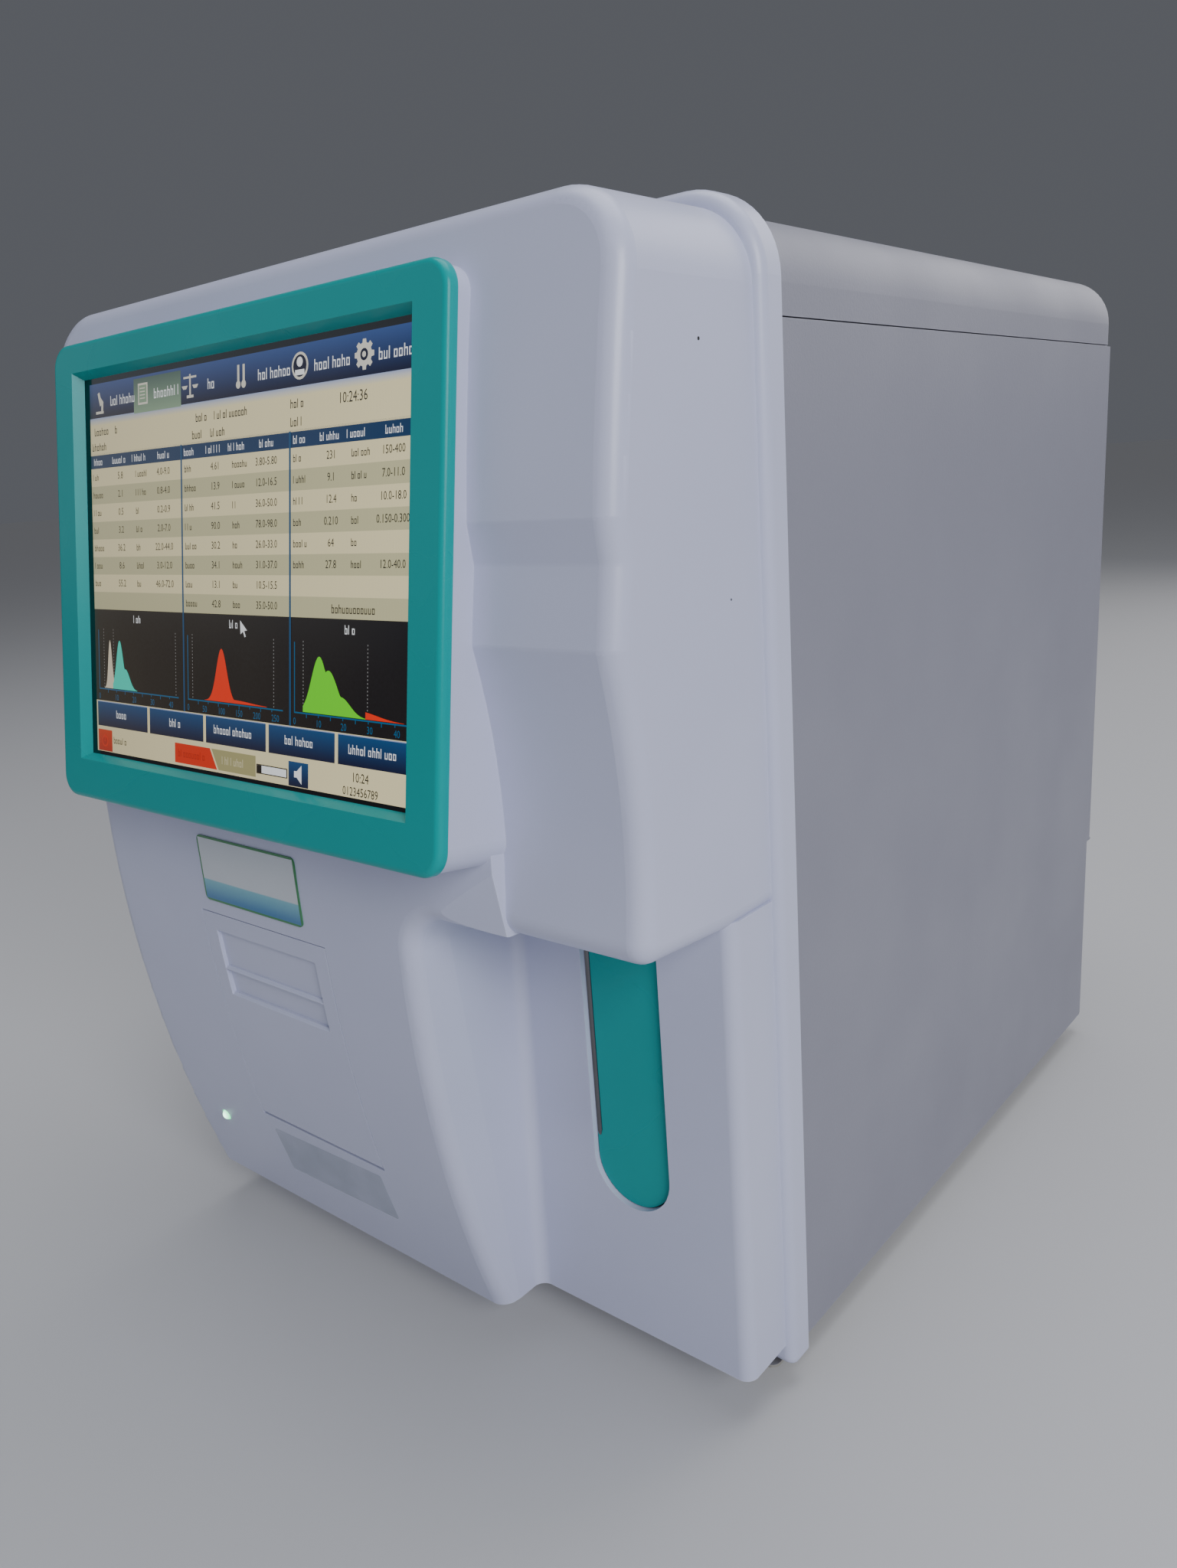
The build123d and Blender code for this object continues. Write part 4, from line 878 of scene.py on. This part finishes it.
def makePlates():
    plate = frontPlate
    outline = roundedOutline(plate["left"], plate["right"], plate["low"], plate["high"], plate["corner"])
    piece = layOnCover("frontPlate", outline, plate["lift"], makePlateMaterial())
    mark = smallMarks
    outline = roundedOutline(mark["filmLeft"], mark["filmRight"], mark["filmLow"], mark["filmHigh"],
                             mark["filmCorner"])
    piece = layOnCover("bareFilm", turnOutline(outline, mark["filmTurn"]), mark["filmLift"], makeFilm())
    points, faces = [], []
    for x, y, z, radius in mark["dots"]:
        start = len(points)
        for side in range(mark["dotSides"]):
            turn = 2 * math.pi * side / mark["dotSides"]
            points.append((x, y + radius * math.cos(turn), z + radius * math.sin(turn)))
        faces.append(list(range(start, len(points))))
    # black discs: the first is painted shade where the seam has a hole, the other two are specks
    piece = linkMesh("sideHoleShadeAndSpecks", points, faces, materials["blackPlastic"])
    print("plate, film and marks laid")


makePlates()


# what repeats or follows a path, made by geometry nodes

socketKinds = {float: "Float", int: "Int", tuple: "Vector", bpy.types.Material: "Material"}


def growPiece(name, shape, points, look, body, node):
    # builds a geometry tree with an input for each value, runs it once and keeps a plain mesh
    tree = bpy.data.node_groups.new(name, "GeometryNodeTree")
    tree.interface.new_socket(name="Geometry", in_out="INPUT", socket_type="NodeSocketGeometry")
    keys = {}
    for label, value in look.items():
        kind = "NodeSocket" + socketKinds[type(value)]
        keys[label] = tree.interface.new_socket(name=label, in_out="INPUT", socket_type=kind).identifier
    tree.interface.new_socket(name="Geometry", in_out="OUTPUT", socket_type="NodeSocketGeometry")
    take = tree.nodes.new("NodeGroupInput").outputs
    whole = addNode(tree, "GeometryNodeRealizeInstances", None, {"Geometry": shape(tree, take)}).outputs["Geometry"]
    painted = addNode(tree, "GeometryNodeSetMaterial", None, {
        "Geometry": whole, "Material": take["Finish"]}).outputs["Geometry"]
    addNode(tree, "NodeGroupOutput", None, {"Geometry": painted})
    seeds = bpy.data.meshes.new(name + "Seeds")
    seeds.from_pydata(points, [], [])
    piece = bpy.data.objects.new(name, seeds)
    bpy.context.scene.collection.objects.link(piece)
    modifier = piece.modifiers.new("shape", "NODES")
    modifier.node_group = tree
    for label, value in look.items():
        modifier[keys[label]] = value
    bpy.context.view_layer.update()
    result = bpy.data.meshes.new_from_object(piece.evaluated_get(bpy.context.evaluated_depsgraph_get()))
    piece.modifiers.remove(modifier)
    piece.data = result
    bpy.data.meshes.remove(seeds)
    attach(piece, body)
    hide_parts(node)
    print(name, "faces:", len(result.polygons))


def vector(tree, x=0.0, y=0.0, z=0.0):
    return addNode(tree, "ShaderNodeCombineXYZ", None, {0: x, 1: y, 2: z}).outputs[0]


def moved(tree, source, place=None, turn=None):
    return addNode(tree, "GeometryNodeTransform", None, {
        "Geometry": source, "Translation": place, "Rotation": turn}).outputs["Geometry"]


def joined(tree, *sources):
    node = tree.nodes.new("GeometryNodeJoinGeometry")
    for source in sources:
        fill(tree, node.inputs["Geometry"], source)
    return node.outputs["Geometry"]


def turnedCopies(tree, source, count, startTurn=0.0, scale=None):
    # copies at one place, each turned on by an equal share of a full turn, or scaled by a field
    line = addNode(tree, "GeometryNodeMeshLine", None, {"Offset": (0, 0, 0), "Count": count})
    if scale is None:
        index = tree.nodes.new("GeometryNodeInputIndex").outputs["Index"]
        turn = maths(tree, "ADD", times(tree, index, maths(tree, "DIVIDE", 2 * math.pi, count)), startTurn)
        change = {"Rotation": vector(tree, z=turn)}
    else:
        change = {"Scale": vector(tree, scale, scale, 1.0)}
    copies = addNode(tree, "GeometryNodeInstanceOnPoints", None, {
        "Points": line.outputs["Mesh"], "Instance": source, **change}).outputs["Instances"]
    return addNode(tree, "GeometryNodeRealizeInstances", None, {"Geometry": copies}).outputs["Geometry"]


def asWire(tree, curve, radius, sides):
    ring = addNode(tree, "GeometryNodeCurvePrimitiveCircle", None, {"Resolution": sides, "Radius": radius})
    return addNode(tree, "GeometryNodeCurveToMesh", None, {
        "Curve": curve, "Profile Curve": ring.outputs["Curve"], "Fill Caps": True}).outputs["Mesh"]


facingRear = (-math.pi / 2, 0, 0)  # turns what faces up to face the rear
roundSides = 32

screwPlaces = {
    "lift": 0.00004,
    "raisedX": (-0.146, -0.050, 0.050, 0.146), "raisedZ": (0.146, 0.412), "raisedY": 0.2443315,
    "lowerX": (-0.146, 0.146), "lowerZ": (0.030, 0.116), "lowerY": 0.2378315,
}

screwLook = {
    "Head Radius": 0.0032, "Head Height": 0.0019, "Dome": 0.55, "Slot Width": 0.0009, "Slot Length": 0.0038,
    "Slot Depth": 0.0011, "Seed": 5, "Finish": materials["brushedSteel"],
}


def screwShape(tree, take):
    # domed head with a cross slot on every point, each turned its own way
    high, long, wide = take["Head Height"], take["Slot Length"], take["Slot Width"]
    head = addNode(tree, "GeometryNodeMeshCylinder", None, {
        "Vertices": roundSides, "Side Segments": 6, "Radius": take["Head Radius"], "Depth": high})
    place = axesOf(tree, tree.nodes.new("GeometryNodeInputPosition").outputs["Position"])
    rise = maths(tree, "ADD", maths(tree, "DIVIDE", place["Z"], high), 0.5)
    narrow = times(tree, maths(tree, "POWER", rise, 2.6), take["Dome"])
    share = maths(tree, "SQRT", maths(tree, "SUBTRACT", 1.0, narrow))
    domed = addNode(tree, "GeometryNodeSetPosition", None, {
        "Geometry": head.outputs["Mesh"],
        "Position": vector(tree, times(tree, place["X"], share), times(tree, place["Y"], share), place["Z"])})
    cut = addNode(tree, "GeometryNodeMeshBoolean", {"operation": "DIFFERENCE"}, {
        "Mesh 1": domed.outputs["Geometry"]})
    top, depth = times(tree, high, 0.5), times(tree, take["Slot Depth"], 2.0)
    for across, along in ((wide, long), (long, wide)):
        slot = addNode(tree, "GeometryNodeMeshCube", None, {"Size": vector(tree, across, along, depth)})
        fill(tree, cut.inputs["Mesh 2"], moved(tree, slot.outputs["Mesh"], vector(tree, z=top)))
    seated = moved(tree, cut.outputs["Mesh"], vector(tree, z=top))
    dice = addNode(tree, "FunctionNodeRandomValue", {"data_type": "FLOAT"}, {"Seed": take["Seed"]})
    least, most = [i for i in dice.inputs if i.type == "VALUE"][:2]
    least.default_value, most.default_value = 0.0, math.pi
    turn = [o for o in dice.outputs if o.type == "VALUE"][0]
    return addNode(tree, "GeometryNodeInstanceOnPoints", None, {
        "Points": take["Geometry"], "Instance": seated,
        "Rotation": vector(tree, facingRear[0], turn)}).outputs["Instances"]


def makeScrews():
    at = screwPlaces
    points = [(x, at[row + "Y"] + at["lift"], z) for row in ("raised", "lower")
              for x in at[row + "X"] for z in at[row + "Z"]]
    growPiece("panelScrews", screwShape, points, screwLook, "cabinet", "panel_screws")


guardLook = {
    "Wire Radius": 0.0006, "Rings": 4, "First Ring": 0.010, "Ring Step": 0.0078, "Ring Depth": 0.00155,
    "Leg Depth": 0.00075, "Legs": 4, "Leg Start": 0.0095, "Leg End": 0.0478, "Eye Radius": 0.0027,
    "Finish": materials["brushedSteel"],
}


def guardShape(tree, take):
    # wire rings on four legs, each leg ending in an eye for its screw
    wire, eyeRadius = take["Wire Radius"], take["Eye Radius"]
    circle = addNode(tree, "GeometryNodeCurvePrimitiveCircle", None, {"Resolution": 56, "Radius": 1.0})
    index = tree.nodes.new("GeometryNodeInputIndex").outputs["Index"]
    size = maths(tree, "ADD", times(tree, index, take["Ring Step"]), take["First Ring"])
    rings = turnedCopies(tree, circle.outputs["Curve"], take["Rings"], scale=size)
    ringWires = moved(tree, asWire(tree, rings, wire, 8), vector(tree, z=take["Ring Depth"]))
    leg = addNode(tree, "GeometryNodeCurvePrimitiveLine", None, {
        "Start": vector(tree, take["Leg Start"]), "End": vector(tree, take["Leg End"])})
    eye = addNode(tree, "GeometryNodeCurvePrimitiveCircle", None, {"Resolution": 20, "Radius": eyeRadius})
    eyePlace = vector(tree, maths(tree, "ADD", take["Leg End"], eyeRadius))
    oneLeg = joined(tree, leg.outputs["Curve"], moved(tree, eye.outputs["Curve"], eyePlace))
    legs = turnedCopies(tree, oneLeg, take["Legs"], math.pi / 4)
    legWires = moved(tree, asWire(tree, legs, wire, 8), vector(tree, z=take["Leg Depth"]))
    return moved(tree, joined(tree, ringWires, legWires), take["Centre"], facingRear)


def makeGuard():
    low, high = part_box("fan_guard")
    centre = ((low.x + high.x) / 2, screwPlaces["raisedY"], (low.z + high.z) / 2)
    growPiece("fanGuard", guardShape, [(0, 0, 0)], {**guardLook, "Centre": centre}, "cabinet", "fan_guard")


threadLook = {
    "Starts": 4, "Core Radius": 0.0024, "Ridge Radius": 0.0005, "End Gap": 0.001,
    "Finish": materials["brushedSteel"],
}
threadLead = 0.012  # rise in one turn


def threadShape(tree, take):
    # ridges wound round a core, several starts side by side
    core, length = take["Core Radius"], take["Length"]
    inner = maths(tree, "SUBTRACT", length, times(tree, take["End Gap"], 2.0))
    wound = addNode(tree, "GeometryNodeCurveSpiral", None, {
        "Resolution": 20, "Start Radius": core, "End Radius": core, "Rotations": take["Turns"], "Height": inner})
    ridges = turnedCopies(tree, wound.outputs["Curve"], take["Starts"])
    lifted = moved(tree, asWire(tree, ridges, take["Ridge Radius"], 6), vector(tree, z=take["End Gap"]))
    rod = addNode(tree, "GeometryNodeMeshCylinder", None, {"Vertices": roundSides, "Radius": core, "Depth": length})
    raised = moved(tree, rod.outputs["Mesh"], vector(tree, z=times(tree, length, 0.5)))
    return moved(tree, joined(tree, lifted, raised), take["Foot"])


def makeThread():
    low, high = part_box("probe_lead_screw")
    length = high.z - low.z
    foot = ((low.x + high.x) / 2, (low.y + high.y) / 2, low.z)
    growPiece("leadScrew", threadShape, [(0, 0, 0)], {
        **threadLook, "Turns": length / threadLead, "Length": length, "Foot": foot},
        "lead_screw", "probe_lead_screw")


makeScrews()
makeGuard()
makeThread()
print("repeated pieces grown")
